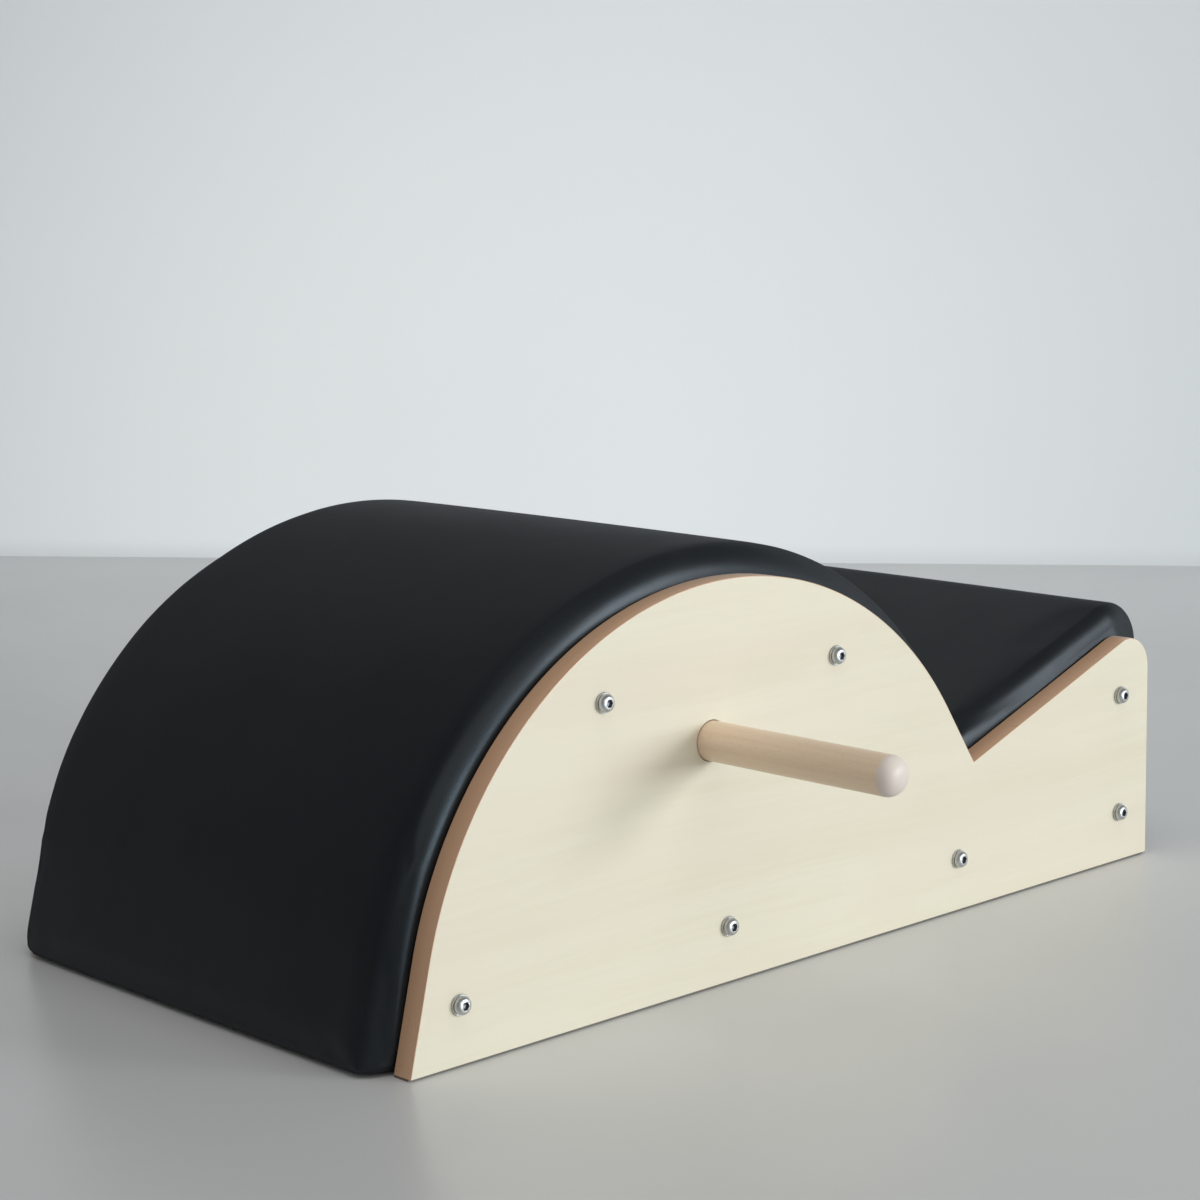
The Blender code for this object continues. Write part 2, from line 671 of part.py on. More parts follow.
def both_sides(x, z, inner, outer):
    """A cylinder's (x, z, low y, high y) on each side, from this far out to that far out."""
    return [(x, z, -outer, -inner), (x, z, inner, outer)]


bolt_tip = PANEL_OUTER + WASHER_THICKNESS + 2 * FIT - BOLT_LENGTH
past_panel = PANEL_OUTER + PANEL_THICKNESS
bore_places = []
for x, z in bolt_places.values():
    bore_places += both_sides(x, z, bolt_tip - BORE_SPARE_DEPTH, past_panel)
bolt_bores = cylinders("bolt_bores", BOLT_RADIUS + FIT, BOLT_SIDES, bore_places)

holes = both_sides(HANDLE_X, HANDLE_HEIGHT, PANEL_INNER - PANEL_THICKNESS, past_panel)
handle_holes = cylinders("handle_holes", HANDLE_HOLE_RADIUS, HANDLE_SIDES, holes)
bores = both_sides(HANDLE_X, HANDLE_HEIGHT, PANEL_INNER - FIT - HANDLE_DEPTH, past_panel)
socket_bores = cylinders("socket_bores", HANDLE_RADIUS + FIT, HANDLE_SIDES, bores)

handle_mesh = make_handle_mesh()
for side, sign in SIDES.items():
    make_side(side, sign)
make_cross_members()
make_barrel_padding()
make_seat_padding()
make_fasteners()
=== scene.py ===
"""The looks of a spine corrector: a padded barrel and a padded sloping seat between two wooden side boards.

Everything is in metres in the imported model's own frame: X runs from the barrel's foot to the step's
end, Y across from the near side to the far side, and the floor is at z = 0.
"""

import math

import bmesh
import bpy
import numpy as np
from mathutils import Matrix, Vector
from mathutils.geometry import tessellate_polygon


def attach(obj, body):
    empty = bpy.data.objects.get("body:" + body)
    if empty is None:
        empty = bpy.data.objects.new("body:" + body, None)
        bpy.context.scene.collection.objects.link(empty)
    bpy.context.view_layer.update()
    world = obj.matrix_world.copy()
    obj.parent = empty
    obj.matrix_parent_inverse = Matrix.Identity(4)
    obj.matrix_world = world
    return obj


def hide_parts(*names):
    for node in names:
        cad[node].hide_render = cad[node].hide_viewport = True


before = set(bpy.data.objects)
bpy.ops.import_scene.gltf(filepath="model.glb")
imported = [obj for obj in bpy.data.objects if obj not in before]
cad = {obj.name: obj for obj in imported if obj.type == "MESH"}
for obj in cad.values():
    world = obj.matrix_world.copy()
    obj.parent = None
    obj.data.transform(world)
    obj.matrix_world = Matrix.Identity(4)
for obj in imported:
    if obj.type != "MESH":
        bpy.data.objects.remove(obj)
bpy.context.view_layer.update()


# Side boards. Two 18 mm boards faced on both sides with pale maple laminate, sawn to one outline:
# foot, arc, valley, slope and end. Each is drilled for its peg, with the hole's rim lightly eased. The
# face stops just above the floor, where the lower edge is rebated; the bare core there is painted dark as
# the shade of the gap under the board.

AXIS = np.array([-0.10605, 0.005])
BOARD_ARC = 0.301
FOOT_TURN = math.radians(76.0)
VALLEY_TURN = math.radians(56.5)
STEP_END = 0.41525
STEP_TOP = 0.207
SLOPE = math.radians(19.8)
STEP_CORNER = 0.028
BOARD_OUTER = 0.240
BOARD_INNER = 0.222
EDGING = 0.0005
ARC_CUTS = 120
CORNER_CUTS = 20
PEG_X = -0.12505
PEG_Z = 0.188
PEG_HOLE = 0.0156
PEG_HOLE_EASE = 0.0003
SHADOW_LINE = {"high": 0.0018, "deep": 0.003}
PEG_HOLE_CUTS = 72
SIDES = {"right": -1.0, "left": 1.0}
OFF_SLOPE = np.array([-math.sin(SLOPE), math.cos(SLOPE)])


def outward(turn):
    """Unit vectors of the side view, this far round from straight up towards the step."""
    return np.stack([np.sin(turn), np.cos(turn)], -1)


def over_barrel(turn, level):
    """Points of the arc: the axis plus (arc radius + level) along the direction of each turn."""
    return AXIS + (BOARD_ARC + np.asarray(level))[..., None] * outward(np.asarray(turn))


def slope_height(x, level):
    """The slope's line moved out by level, read over x: its height at the sharp corner less its fall."""
    return STEP_TOP + level / math.cos(SLOPE) - (STEP_END - x) * math.tan(SLOPE)


def foot_run_end(level, z):
    """The foot of the straight run, tangent to the arc: it moves out by 1 / tan(turn) a metre down."""
    top = over_barrel(-FOOT_TURN, level)
    return np.stack([top[..., 0] - (top[..., 1] - z) / math.tan(FOOT_TURN), z + 0.0 * top[..., 0]], -1)


def valley_run_end(level, slope_level):
    """The straight run beyond the arc, followed down to the slope's line moved out by slope_level."""
    top = over_barrel(VALLEY_TURN, level)
    run = np.array([math.cos(VALLEY_TURN), -math.sin(VALLEY_TURN)])
    above = (top[..., 1] - slope_height(top[..., 0], slope_level)) * math.cos(SLOPE)
    return top + (above / -(run @ OFF_SLOPE))[..., None] * run


def barrel_outline(level, foot_z):
    """From the floor up the foot run, over the arc by equal turns, and down to the valley."""
    level = np.array(float(level))
    turns = np.linspace(-FOOT_TURN, VALLEY_TURN, ARC_CUTS + 1)
    return np.vstack([foot_run_end(level, foot_z), over_barrel(turns, level), valley_run_end(level, level)])


def step_outline(level, foot_z):
    """From the valley up the slope, round the corner's arc by equal turns, and straight down the end."""
    level = np.array(float(level))
    middle_x = STEP_END - STEP_CORNER
    middle = np.array([middle_x, slope_height(middle_x, 0.0) - STEP_CORNER / math.cos(SLOPE)])
    turns = np.linspace(-SLOPE, math.pi / 2, CORNER_CUTS + 1)
    corner = middle + (STEP_CORNER + level) * outward(turns)
    return np.vstack([valley_run_end(level, level), corner, [STEP_END + level, foot_z]])


def circle(x, z, radius, cuts):
    """A ring of points round (x, z) in the side view."""
    turns = np.linspace(0.0, 2.0 * math.pi, cuts, endpoint=False)
    return np.array([x, z]) + radius * outward(turns)


def at_width(side_view, y):
    """Side view points set at this place across the width."""
    y = np.broadcast_to(np.asarray(y, float), side_view.shape[:-1])
    return np.stack([side_view[..., 0], y, side_view[..., 1]], -1)


def grid_faces(rows, columns, start=0, close_rows=False, close_columns=False):
    """Quads between neighbours of a rows by columns grid, whose points count up along each row."""
    row = np.arange(rows if close_rows else rows - 1)[:, None]
    column = np.arange(columns if close_columns else columns - 1)[None, :]
    next_row = (row + 1) % rows * columns
    next_column = (column + 1) % columns
    row = row * columns
    quads = [row + column, row + next_column, next_row + next_column, next_row + column]
    return (np.stack(quads, -1).reshape(-1, 4) + start).tolist()


def closed_piece(name, points, faces, material, body, smooth_below=30.0):
    """One closed piece, its faces turned outwards and its edges over smooth_below degrees kept crisp."""
    mesh = bpy.data.meshes.new(name)
    mesh.from_pydata(np.asarray(points).reshape(-1, 3).tolist(), [], faces)
    skin = bmesh.new()
    skin.from_mesh(mesh)
    bmesh.ops.remove_doubles(skin, verts=skin.verts, dist=1e-7)
    bmesh.ops.dissolve_degenerate(skin, edges=skin.edges, dist=1e-8)
    bmesh.ops.recalc_face_normals(skin, faces=skin.faces)
    skin.to_mesh(mesh)
    skin.free()
    mesh.shade_smooth()
    mesh.set_sharp_from_angle(angle=math.radians(smooth_below))
    mesh.materials.append(material)
    piece = bpy.data.objects.new(name, mesh)
    bpy.context.scene.collection.objects.link(piece)
    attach(piece, body)
    return piece


def new_group(name, inputs, outputs):
    """An empty shader group with these sockets, each given as (name, type, value), and its two ends."""
    group = bpy.data.node_groups.new(name, "ShaderNodeTree")
    for label, kind, value in inputs:
        socket = group.interface.new_socket(label, in_out="INPUT", socket_type=kind)
        if value is not None:
            socket.default_value = value
    for label, kind in outputs:
        group.interface.new_socket(label, in_out="OUTPUT", socket_type=kind)
    return group, group.nodes.new("NodeGroupInput"), group.nodes.new("NodeGroupOutput")


def node(tree, kind, settings=None, values=None, links=None):
    """A node with its settings, its sockets' values, and its links from outputs of earlier nodes."""
    made = tree.nodes.new(kind)
    for key, value in (settings or {}).items():
        setattr(made, key, value)
    for key, value in (values or {}).items():
        made.inputs[key].default_value = value
    for key, output in (links or {}).items():
        tree.links.new(output, made.inputs[key])
    return made


def make_grain_group():
    """Wood grain along X: fine streaks of noise drawn out along the grain, bent by a slow figure."""
    group, source, result = new_group(
        "wood_grain",
        [
            ("Vector", "NodeSocketVector", None),
            ("Pale", "NodeSocketColor", (0.8, 0.75, 0.65, 1.0)),
            ("Deep", "NodeSocketColor", (0.7, 0.63, 0.5, 1.0)),
            ("Streaks", "NodeSocketFloat", 120.0),
            ("Figure", "NodeSocketFloat", 0.02),
        ],
        [("Color", "NodeSocketColor"), ("Height", "NodeSocketFloat")],
    )
    slow = node(group, "ShaderNodeVectorMath", {"operation": "MULTIPLY"}, {1: (1.6, 6.0, 9.0)},
                {0: source.outputs["Vector"]})
    figure = node(group, "ShaderNodeTexNoise", None, {"Scale": 1.0, "Detail": 2.0, "Roughness": 0.5},
                  {"Vector": slow.outputs[0]})
    bend = node(group, "ShaderNodeMath", {"operation": "MULTIPLY"}, None,
                {0: figure.outputs["Fac"], 1: source.outputs["Figure"]})
    bent = node(group, "ShaderNodeVectorMath", {"operation": "ADD"}, None,
                {0: source.outputs["Vector"], 1: bend.outputs[0]})
    squeezed = node(group, "ShaderNodeVectorMath", {"operation": "MULTIPLY"}, {1: (0.035, 1.0, 1.0)},
                    {0: bent.outputs[0]})
    streaks = node(group, "ShaderNodeTexNoise", None, {"Detail": 5.0, "Roughness": 0.62},
                   {"Vector": squeezed.outputs[0], "Scale": source.outputs["Streaks"]})
    broad = node(group, "ShaderNodeTexNoise", None, {"Scale": 26.0, "Detail": 2.0, "Roughness": 0.5},
                 {"Vector": squeezed.outputs[0]})
    both = node(group, "ShaderNodeMath", {"operation": "MULTIPLY_ADD"}, {1: 0.6},
                {0: streaks.outputs["Fac"], 2: broad.outputs["Fac"]})
    amount = node(group, "ShaderNodeMapRange", {"interpolation_type": "SMOOTHSTEP"},
                  {"From Min": 0.55, "From Max": 1.05}, {"Value": both.outputs[0]})
    tone = node(group, "ShaderNodeMix", {"data_type": "RGBA"}, None,
                {"Factor": amount.outputs[0], "A": source.outputs["Pale"], "B": source.outputs["Deep"]})
    group.links.new(tone.outputs["Result"], result.inputs["Color"])
    group.links.new(streaks.outputs["Fac"], result.inputs["Height"])
    return group


def make_handling_group():
    """Handling marks: a roughness between a rubbed and a dull value, by two sizes of cloudy noise."""
    group, source, result = new_group(
        "handling_marks",
        [
            ("Vector", "NodeSocketVector", None),
            ("Size", "NodeSocketFloat", 14.0),
            ("Rubbed", "NodeSocketFloat", 0.35),
            ("Dull", "NodeSocketFloat", 0.5),
        ],
        [("Roughness", "NodeSocketFloat"), ("Mask", "NodeSocketFloat")],
    )
    clouds = node(group, "ShaderNodeTexNoise", None, {"Detail": 4.0, "Roughness": 0.6, "Distortion": 0.4},
                  {"Vector": source.outputs["Vector"], "Scale": source.outputs["Size"]})
    mask = node(group, "ShaderNodeMapRange", {"interpolation_type": "SMOOTHSTEP"},
                {"From Min": 0.2, "From Max": 0.8}, {"Value": clouds.outputs["Fac"]})
    rough = node(group, "ShaderNodeMapRange", None, None,
                 {"Value": mask.outputs[0], "To Min": source.outputs["Rubbed"],
                  "To Max": source.outputs["Dull"]})
    group.links.new(rough.outputs[0], result.inputs["Roughness"])
    group.links.new(mask.outputs[0], result.inputs["Mask"])
    return group


wood_grain = make_grain_group()
handling_marks = make_handling_group()


def new_finish(name):
    """A material, its tree, its shader, and its Object coordinates."""
    material = bpy.data.materials.new(name)
    material.use_nodes = True
    tree = material.node_tree
    place = node(tree, "ShaderNodeTexCoord").outputs["Object"]
    return material, tree, tree.nodes["Principled BSDF"], place


def turned(tree, place, turn):
    """The coordinates turned, so that a pattern made along X runs another way on the piece."""
    return node(tree, "ShaderNodeMapping", None, {"Rotation": turn}, {"Vector": place}).outputs[0]


def add_bump(tree, shader, height, depth, strength=1.0, under=None):
    """A bump of this depth in metres, on top of another one where there is one."""
    links = {"Height": height}
    if under:
        links["Normal"] = under.outputs["Normal"]
    bump = node(tree, "ShaderNodeBump", None, {"Distance": depth, "Strength": strength}, links)
    tree.links.new(bump.outputs["Normal"], shader.inputs["Normal"])
    return bump


def add_handling(tree, shader, place, size, rubbed, dull):
    """The shader's roughness, from the handling marks."""
    marks = node(tree, "ShaderNodeGroup", {"node_tree": handling_marks},
                 {"Size": size, "Rubbed": rubbed, "Dull": dull}, {"Vector": place})
    tree.links.new(marks.outputs["Roughness"], shader.inputs["Roughness"])
    return marks


def wooden_finish(name, pale, deep, streaks, figure, rubbed, dull, relief, turn=(0.0, 0.0, 0.0)):
    """A wood: grain colours, a roughness that varies, and a fine relief from the same streaks."""
    material, tree, shader, place = new_finish(name)
    along = turned(tree, place, turn)
    grain = node(tree, "ShaderNodeGroup", {"node_tree": wood_grain},
                 {"Pale": (*pale, 1.0), "Deep": (*deep, 1.0), "Streaks": streaks, "Figure": figure},
                 {"Vector": along})
    tree.links.new(grain.outputs["Color"], shader.inputs["Base Color"])
    add_handling(tree, shader, place, 9.0, rubbed, dull)
    add_bump(tree, shader, grain.outputs["Height"], relief)
    return material, tree, shader, grain


def make_laminate():
    """Maple print under a satin film: grain, a faint blush in large patches, painted shade at the rebate.
    """
    material, tree, shader, grain = wooden_finish(
        "maple_laminate", (0.773, 0.712, 0.564), (0.733, 0.660, 0.506), 230.0, 0.05, 0.36, 0.48, 0.00002)
    place = tree.nodes["Texture Coordinate"].outputs["Object"]
    stretched = node(tree, "ShaderNodeMapping", None, {"Scale": (3.0, 1.0, 13.0)}, {"Vector": place})
    patches = node(tree, "ShaderNodeTexNoise", None, {"Scale": 1.4, "Detail": 2.0, "Distortion": 0.8},
                   {"Vector": stretched.outputs[0]})
    blush = node(tree, "ShaderNodeMapRange", {"interpolation_type": "SMOOTHSTEP"},
                 {"From Min": 0.42, "From Max": 0.62, "To Max": 0.55}, {"Value": patches.outputs["Fac"]})
    warm = node(tree, "ShaderNodeMix", {"data_type": "RGBA"}, {"B": (0.773, 0.686, 0.545, 1.0)},
                {"Factor": blush.outputs[0], "A": grain.outputs["Color"]})
    # Painted shade: below the shadow line the board is coloured dark, for the shade in the gap under it.
    height = node(tree, "ShaderNodeSeparateXYZ", None, None, {"Vector": place})
    rebate_shade = node(tree, "ShaderNodeMath", {"operation": "LESS_THAN"}, {1: SHADOW_LINE["high"] - 0.00002},
                {0: height.outputs["Z"]})
    tone = node(tree, "ShaderNodeMix", {"data_type": "RGBA"}, {"B": (0.16, 0.13, 0.10, 1.0)},
                {"Factor": rebate_shade.outputs[0], "A": warm.outputs["Result"]})
    tree.links.new(tone.outputs["Result"], shader.inputs["Base Color"])
    return material


maple_laminate = make_laminate()


def board_outline(foot_z):
    """The board's whole outline. Its two lowest corners stand at foot_z, under two at the shadow line."""
    high = SHADOW_LINE["high"]
    barrel = barrel_outline(-EDGING, high)
    step = step_outline(-EDGING, high)
    start = barrel_outline(-EDGING, foot_z)[:1]
    end = step_outline(-EDGING, foot_z)[-1:]
    return np.vstack([start, barrel, step[1:], end])


def make_board(side, sign):
    """A board: its outline stepped in along the floor, its peg hole, and the two flat faces between."""
    rebated, whole = board_outline(SHADOW_LINE["high"]), board_outline(0.0)
    rebate_y = BOARD_OUTER - SHADOW_LINE["deep"]
    edge = at_width(np.stack([rebated, rebated, whole, whole]),
                    sign * np.array([BOARD_OUTER, rebate_y, rebate_y, BOARD_INNER])[:, None])
    rims = [PEG_HOLE + PEG_HOLE_EASE, PEG_HOLE, PEG_HOLE, PEG_HOLE + PEG_HOLE_EASE]
    rim_y = np.array([BOARD_OUTER, BOARD_OUTER - PEG_HOLE_EASE, BOARD_INNER + PEG_HOLE_EASE, BOARD_INNER])
    rings = np.stack([circle(PEG_X, PEG_Z, rim, PEG_HOLE_CUTS) for rim in rims])
    hole = at_width(rings, sign * rim_y[:, None])
    points = np.vstack([edge.reshape(-1, 3), hole.reshape(-1, 3)])
    around = len(whole)
    first_hole = 4 * around
    faces = grid_faces(4, around, close_columns=True)
    faces += grid_faces(4, PEG_HOLE_CUTS, first_hole, close_columns=True)
    rim = circle(PEG_X, PEG_Z, rims[0], PEG_HOLE_CUTS)
    for loop, first, rim_first in ((rebated[1:-1], 1, first_hole),
                                   (whole, 3 * around, first_hole + 3 * PEG_HOLE_CUTS)):
        flat = tessellate_polygon([[Vector((x, z, 0.0)) for x, z in ring] for ring in (loop, rim)])
        corner = np.array(flat)
        faces += np.where(corner < len(loop), corner + first, corner - len(loop) + rim_first).tolist()
    board = closed_piece(f"{side}_maple_board", points, faces, maple_laminate, "frame", 15.0)
    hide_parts(f"side_panel_{side}")


for side, sign in SIDES.items():
    make_board(side, sign)


# Edging. A strip of brown plastic is glued round the sawn edge of each board in two lengths that meet in
# the valley, and its two long corners are scraped round. It stops at the shadow line above the floor.

EDGING_SCRAPE = 0.0003
EDGING_SCRAPE_CUTS = 3


def make_edging(name, outline, sign, node_name):
    """A strip: a small section, flat with two scraped corners, carried along the board's outline."""
    turns = np.linspace(0.0, math.pi / 2, EDGING_SCRAPE_CUTS + 1)
    level = np.concatenate([[-EDGING], -EDGING_SCRAPE * (1.0 - np.sin(turns))])
    y = np.concatenate([[BOARD_OUTER], BOARD_OUTER - EDGING_SCRAPE * (1.0 - np.cos(turns))])
    middle = BOARD_OUTER - (BOARD_OUTER - BOARD_INNER) / 2
    level = np.concatenate([level, level[::-1]])
    y = np.concatenate([y, 2 * middle - y[::-1]])
    along = np.stack([outline(one, SHADOW_LINE["high"]) for one in level], 1)
    points = at_width(along, sign * y[None, :])
    rows, columns = points.shape[:2]
    faces = grid_faces(rows, columns, close_columns=True)
    faces += [list(range(columns)), list(range((rows - 1) * columns, rows * columns))]
    strip = closed_piece(name, points, faces, brown_edging, "frame", 20.0)
    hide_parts(node_name)


def make_edging_finish():
    """Brown plastic with a faint printed grain, a little shinier where feet and hands rub it."""
    material, tree, shader, place = new_finish("brown_edging")
    squeezed = node(tree, "ShaderNodeMapping", None, {"Scale": (5.0, 260.0, 5.0)}, {"Vector": place})
    lines = node(tree, "ShaderNodeTexNoise", None, {"Scale": 1.0, "Detail": 1.5, "Roughness": 0.5},
                 {"Vector": squeezed.outputs[0]})
    add_handling(tree, shader, place, 11.0, 0.26, 0.30)
    tone = node(tree, "ShaderNodeMix", {"data_type": "RGBA"},
                {"A": (0.606, 0.356, 0.210, 1.0), "B": (0.656, 0.396, 0.240, 1.0)},
                {"Factor": lines.outputs["Fac"]})
    tree.links.new(tone.outputs["Result"], shader.inputs["Base Color"])
    add_bump(tree, shader, lines.outputs["Fac"], 0.000008)
    shader.inputs["Specular IOR Level"].default_value = 0.8
    shader.inputs["Sheen Weight"].default_value = 0.25
    shader.inputs["Sheen Tint"].default_value = (0.92, 0.95, 0.88, 1.0)
    return material


brown_edging = make_edging_finish()
for side, sign in SIDES.items():
    for part, outline in (("barrel", barrel_outline), ("step", step_outline)):
        make_edging(f"{side}_{part}_edging", outline, sign, f"{part}_edge_band_{side}")


# Rails, ledger and peg blocks. Planed pine, screwed between the boards; the peg blocks are glued to the
# boards' inner faces. The rails' grain runs across the apparatus and the blocks' grain stands upright.

pine_across = wooden_finish(
    "pine_across", (0.68, 0.50, 0.31), (0.50, 0.32, 0.17), 90.0, 0.03, 0.5, 0.65, 0.00008,
    (0.0, 0.0, math.pi / 2))[0]
pine_upright = wooden_finish(
    "pine_upright", (0.66, 0.49, 0.31), (0.49, 0.32, 0.18), 90.0, 0.03, 0.5, 0.65, 0.00008,
    (0.0, math.pi / 2, 0.0))[0]
RAILS = ["foot_rail", "centre_rail", "valley_rail", "valley_ledger", "crown_outer_rail", "crown_inner_rail",
         "end_rail_lower", "end_rail_upper"]
for name in RAILS:
    cad[name].material_slots[0].material = pine_across
for side in SIDES:
    cad[f"socket_block_{side}"].material_slots[0].material = pine_upright


# Shell and seat boards. Birch plywood: one sheet bent over the barrel's rails, and two flat boards under
# the seat's slope and end, mitred at the corner. The padding hides all but their undersides.

SHELL_TOP = -0.0093
SHELL_UNDER = -0.0183
SEAT_BOARD_UNDER = -0.0213
FLOOR_GAP = 0.003
WRAP = 0.0015
PAD_HALF_WIDTH = 0.220
NEAR_HALF_WIDTH = 0.2218
SIDE_DRAW = 0.0015
DRAW_POWER = 1.5
SHELL_HALF_WIDTH = PAD_HALF_WIDTH - SIDE_DRAW - WRAP
PLY = 0.0015


def barrel_side_view(run, level, inset):
    """The barrel's layers in side view. A run from -1 to 0 climbs from the foot, 0 to 1 goes over the arc
    by equal turns, and 1 to 2 comes down into the valley; inset shortens both ends."""
    run, level = np.broadcast_arrays(np.asarray(run, float), np.asarray(level, float))
    turn = -FOOT_TURN + (FOOT_TURN + VALLEY_TURN) * np.clip(run, 0.0, 1.0)
    arc = over_barrel(turn, level)
    foot = foot_run_end(level, FLOOR_GAP + inset)
    valley = valley_run_end(level, SEAT_BOARD_UNDER + inset)
    down = np.clip(-run, 0.0, 1.0)[..., None]
    beyond = np.clip(run - 1.0, 0.0, 1.0)[..., None]
    return arc + down * (foot - arc) + beyond * (valley - arc)


def make_ply_finish(name, turn, ply_turn):
    """Birch ply: a veneer's grain on the faces, and thin darker glue lines where plies come out at an edge.
    The wave texture's bands repeat every 0.314 / scale, so the scale below puts a line every two plies."""
    material, tree, shader, grain = wooden_finish(
        name, (0.70, 0.53, 0.35), (0.58, 0.41, 0.24), 70.0, 0.04, 0.5, 0.65, 0.00006, turn)
    place = tree.nodes["Texture Coordinate"].outputs["Object"]
    across = turned(tree, place, ply_turn)
    lines = node(tree, "ShaderNodeTexWave", {"bands_direction": "Z"},
                 {"Scale": 0.314 / (2.0 * PLY), "Distortion": 0.0}, {"Vector": across})
    glue = node(tree, "ShaderNodeMapRange", None, {"From Min": 0.86, "From Max": 1.0, "To Max": 0.45},
                {"Value": lines.outputs["Fac"]})
    tone = node(tree, "ShaderNodeMix", {"data_type": "RGBA"}, {"B": (0.33, 0.20, 0.11, 1.0)},
                {"Factor": glue.outputs[0], "A": grain.outputs["Color"]})
    tree.links.new(tone.outputs["Result"], shader.inputs["Base Color"])
    return material


ply_across = (0.0, 0.0, math.pi / 2)
bent_ply = wooden_finish(
    "bent_ply", (0.70, 0.53, 0.35), (0.58, 0.41, 0.24), 70.0, 0.04, 0.5, 0.65, 0.00006, ply_across)[0]
for name, finish, lean in (("seat_board", "slope_ply", SLOPE), ("end_board", "end_ply", math.pi / 2)):
    cad[name].material_slots[0].material = make_ply_finish(finish, ply_across, (0.0, lean, 0.0))

runs = np.concatenate([[-1.0], np.linspace(0.0, 1.0, ARC_CUTS + 1), [2.0]])
levels = np.array([SHELL_TOP, SHELL_TOP, SHELL_UNDER, SHELL_UNDER])
widths = SHELL_HALF_WIDTH * np.array([-1.0, 1.0, 1.0, -1.0])
shell_points = at_width(barrel_side_view(runs[:, None], levels[None, :], WRAP), widths[None, :])
shell_faces = grid_faces(len(runs), 4, close_columns=True)
shell_faces += [[0, 1, 2, 3], [4 * len(runs) - 4 + k for k in range(4)]]
shell = closed_piece("bent_shell", shell_points, shell_faces, bent_ply, "frame", 30.0)
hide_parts("barrel_shell")


# Barrel pad. One piece of black vinyl is pulled over 30 mm foam on the bent shell, wrapped round the
# shell's sides and ends and stapled out of sight. Its near edge is a tall firm roll, and the far edge was
# pulled softer.

PAD_TOP = 0.0225
PAD_CROWN = 0.0008
NEAR_ROUND = 0.016
NEAR_RISE = 0.0395
FOOT_END_ROUND = 0.005
FOOT_END_DROP = 0.0045
END_WALL = 0.0001
PAD_CUTS = {"side": 10, "round": 14, "top": 44, "end": 12}
BARREL_STATIONS = {"foot": 16, "arc": 131}
FOAM_PUSH = 4.0
FOAM_SWELL = 0.0012
FOAM_STEPS = 20
STAPLED_ROWS = 3
NEAR_CORNER = {"tall": 0.008, "deep": 0.003}
FAR_CORNER = {"tall": 0.020, "deep": 0.010}


def pad_section(near_round, near_rise, far_round, near_half, far_half, high, low, board_top, board_under,
                boxed):
    """Cross sections, one row a station, as places across the width and levels. Up the near side, round its
    quarter ellipse, over a top crowned as 1 - t squared, round a quarter circle and down the far side; then
    back under the pad, round the board that it wraps, or straight across where it is boxed in at an end."""
    climb = np.linspace(0.0, 1.0, PAD_CUTS["side"], endpoint=False)[None, :]
    bend = np.linspace(0.0, math.pi / 2, PAD_CUTS["round"], endpoint=False)[None, :]
    over = np.linspace(-1.0, 1.0, PAD_CUTS["top"] + 1)[None, :]
    near_round, far_round, near_half, far_half, high = [
        np.asarray(one, float)[:, None] for one in (near_round, far_round, near_half, far_half, high)]
    draw = SIDE_DRAW * (1.0 - climb) ** DRAW_POWER

    near_side = (-(near_half - draw), low + climb * (high - near_rise - low))
    left, right = -(near_half - near_round), far_half - far_round
    near_bend = (left - near_round * np.cos(bend), high - near_rise * (1.0 - np.sin(bend)))
    top = ((left + right) / 2 + over * (right - left) / 2, high + PAD_CROWN * (1.0 - over ** 2))
    unbend = bend + bend[:, 1:2]
    far_bend = (right + far_round * np.sin(unbend), high - far_round * (1.0 - np.cos(unbend)))
    fall = climb[:, ::-1]
    far_side = (far_half - draw[:, ::-1], low + fall * (high - far_round - low))

    boxed = np.asarray(boxed, bool)[:, None]
    under_y = SHELL_HALF_WIDTH * np.where(boxed, [[1.0, 0.4, -0.4, -1.0]], [[1.0, 1.0, -1.0, -1.0]])
    under_level = np.where(boxed, low, [[board_under, board_top, board_top, board_under]])
    parts = (near_side, near_bend, top, far_bend, far_side)
    y = np.hstack([part[0] + 0.0 * high for part in parts] + [under_y])
    level = np.hstack([part[1] + 0.0 * high for part in parts] + [under_level])
    return y, level


def rounded_drop(distance, length, depth):
    """How far a quarter-ellipse end has dropped, this far in from the end."""
    left = np.clip(1.0 - distance / length, 0.0, 1.0)
    return depth * (1.0 - np.sqrt(1.0 - left ** 2))


def squeezed(level, drop, high, low):
    """Levels of a station scaled down towards low, so that its top comes down by drop."""
    share = (high - drop - low) / (high - low)
    return np.where(level > low, low + (level - low) * share[:, None], level)


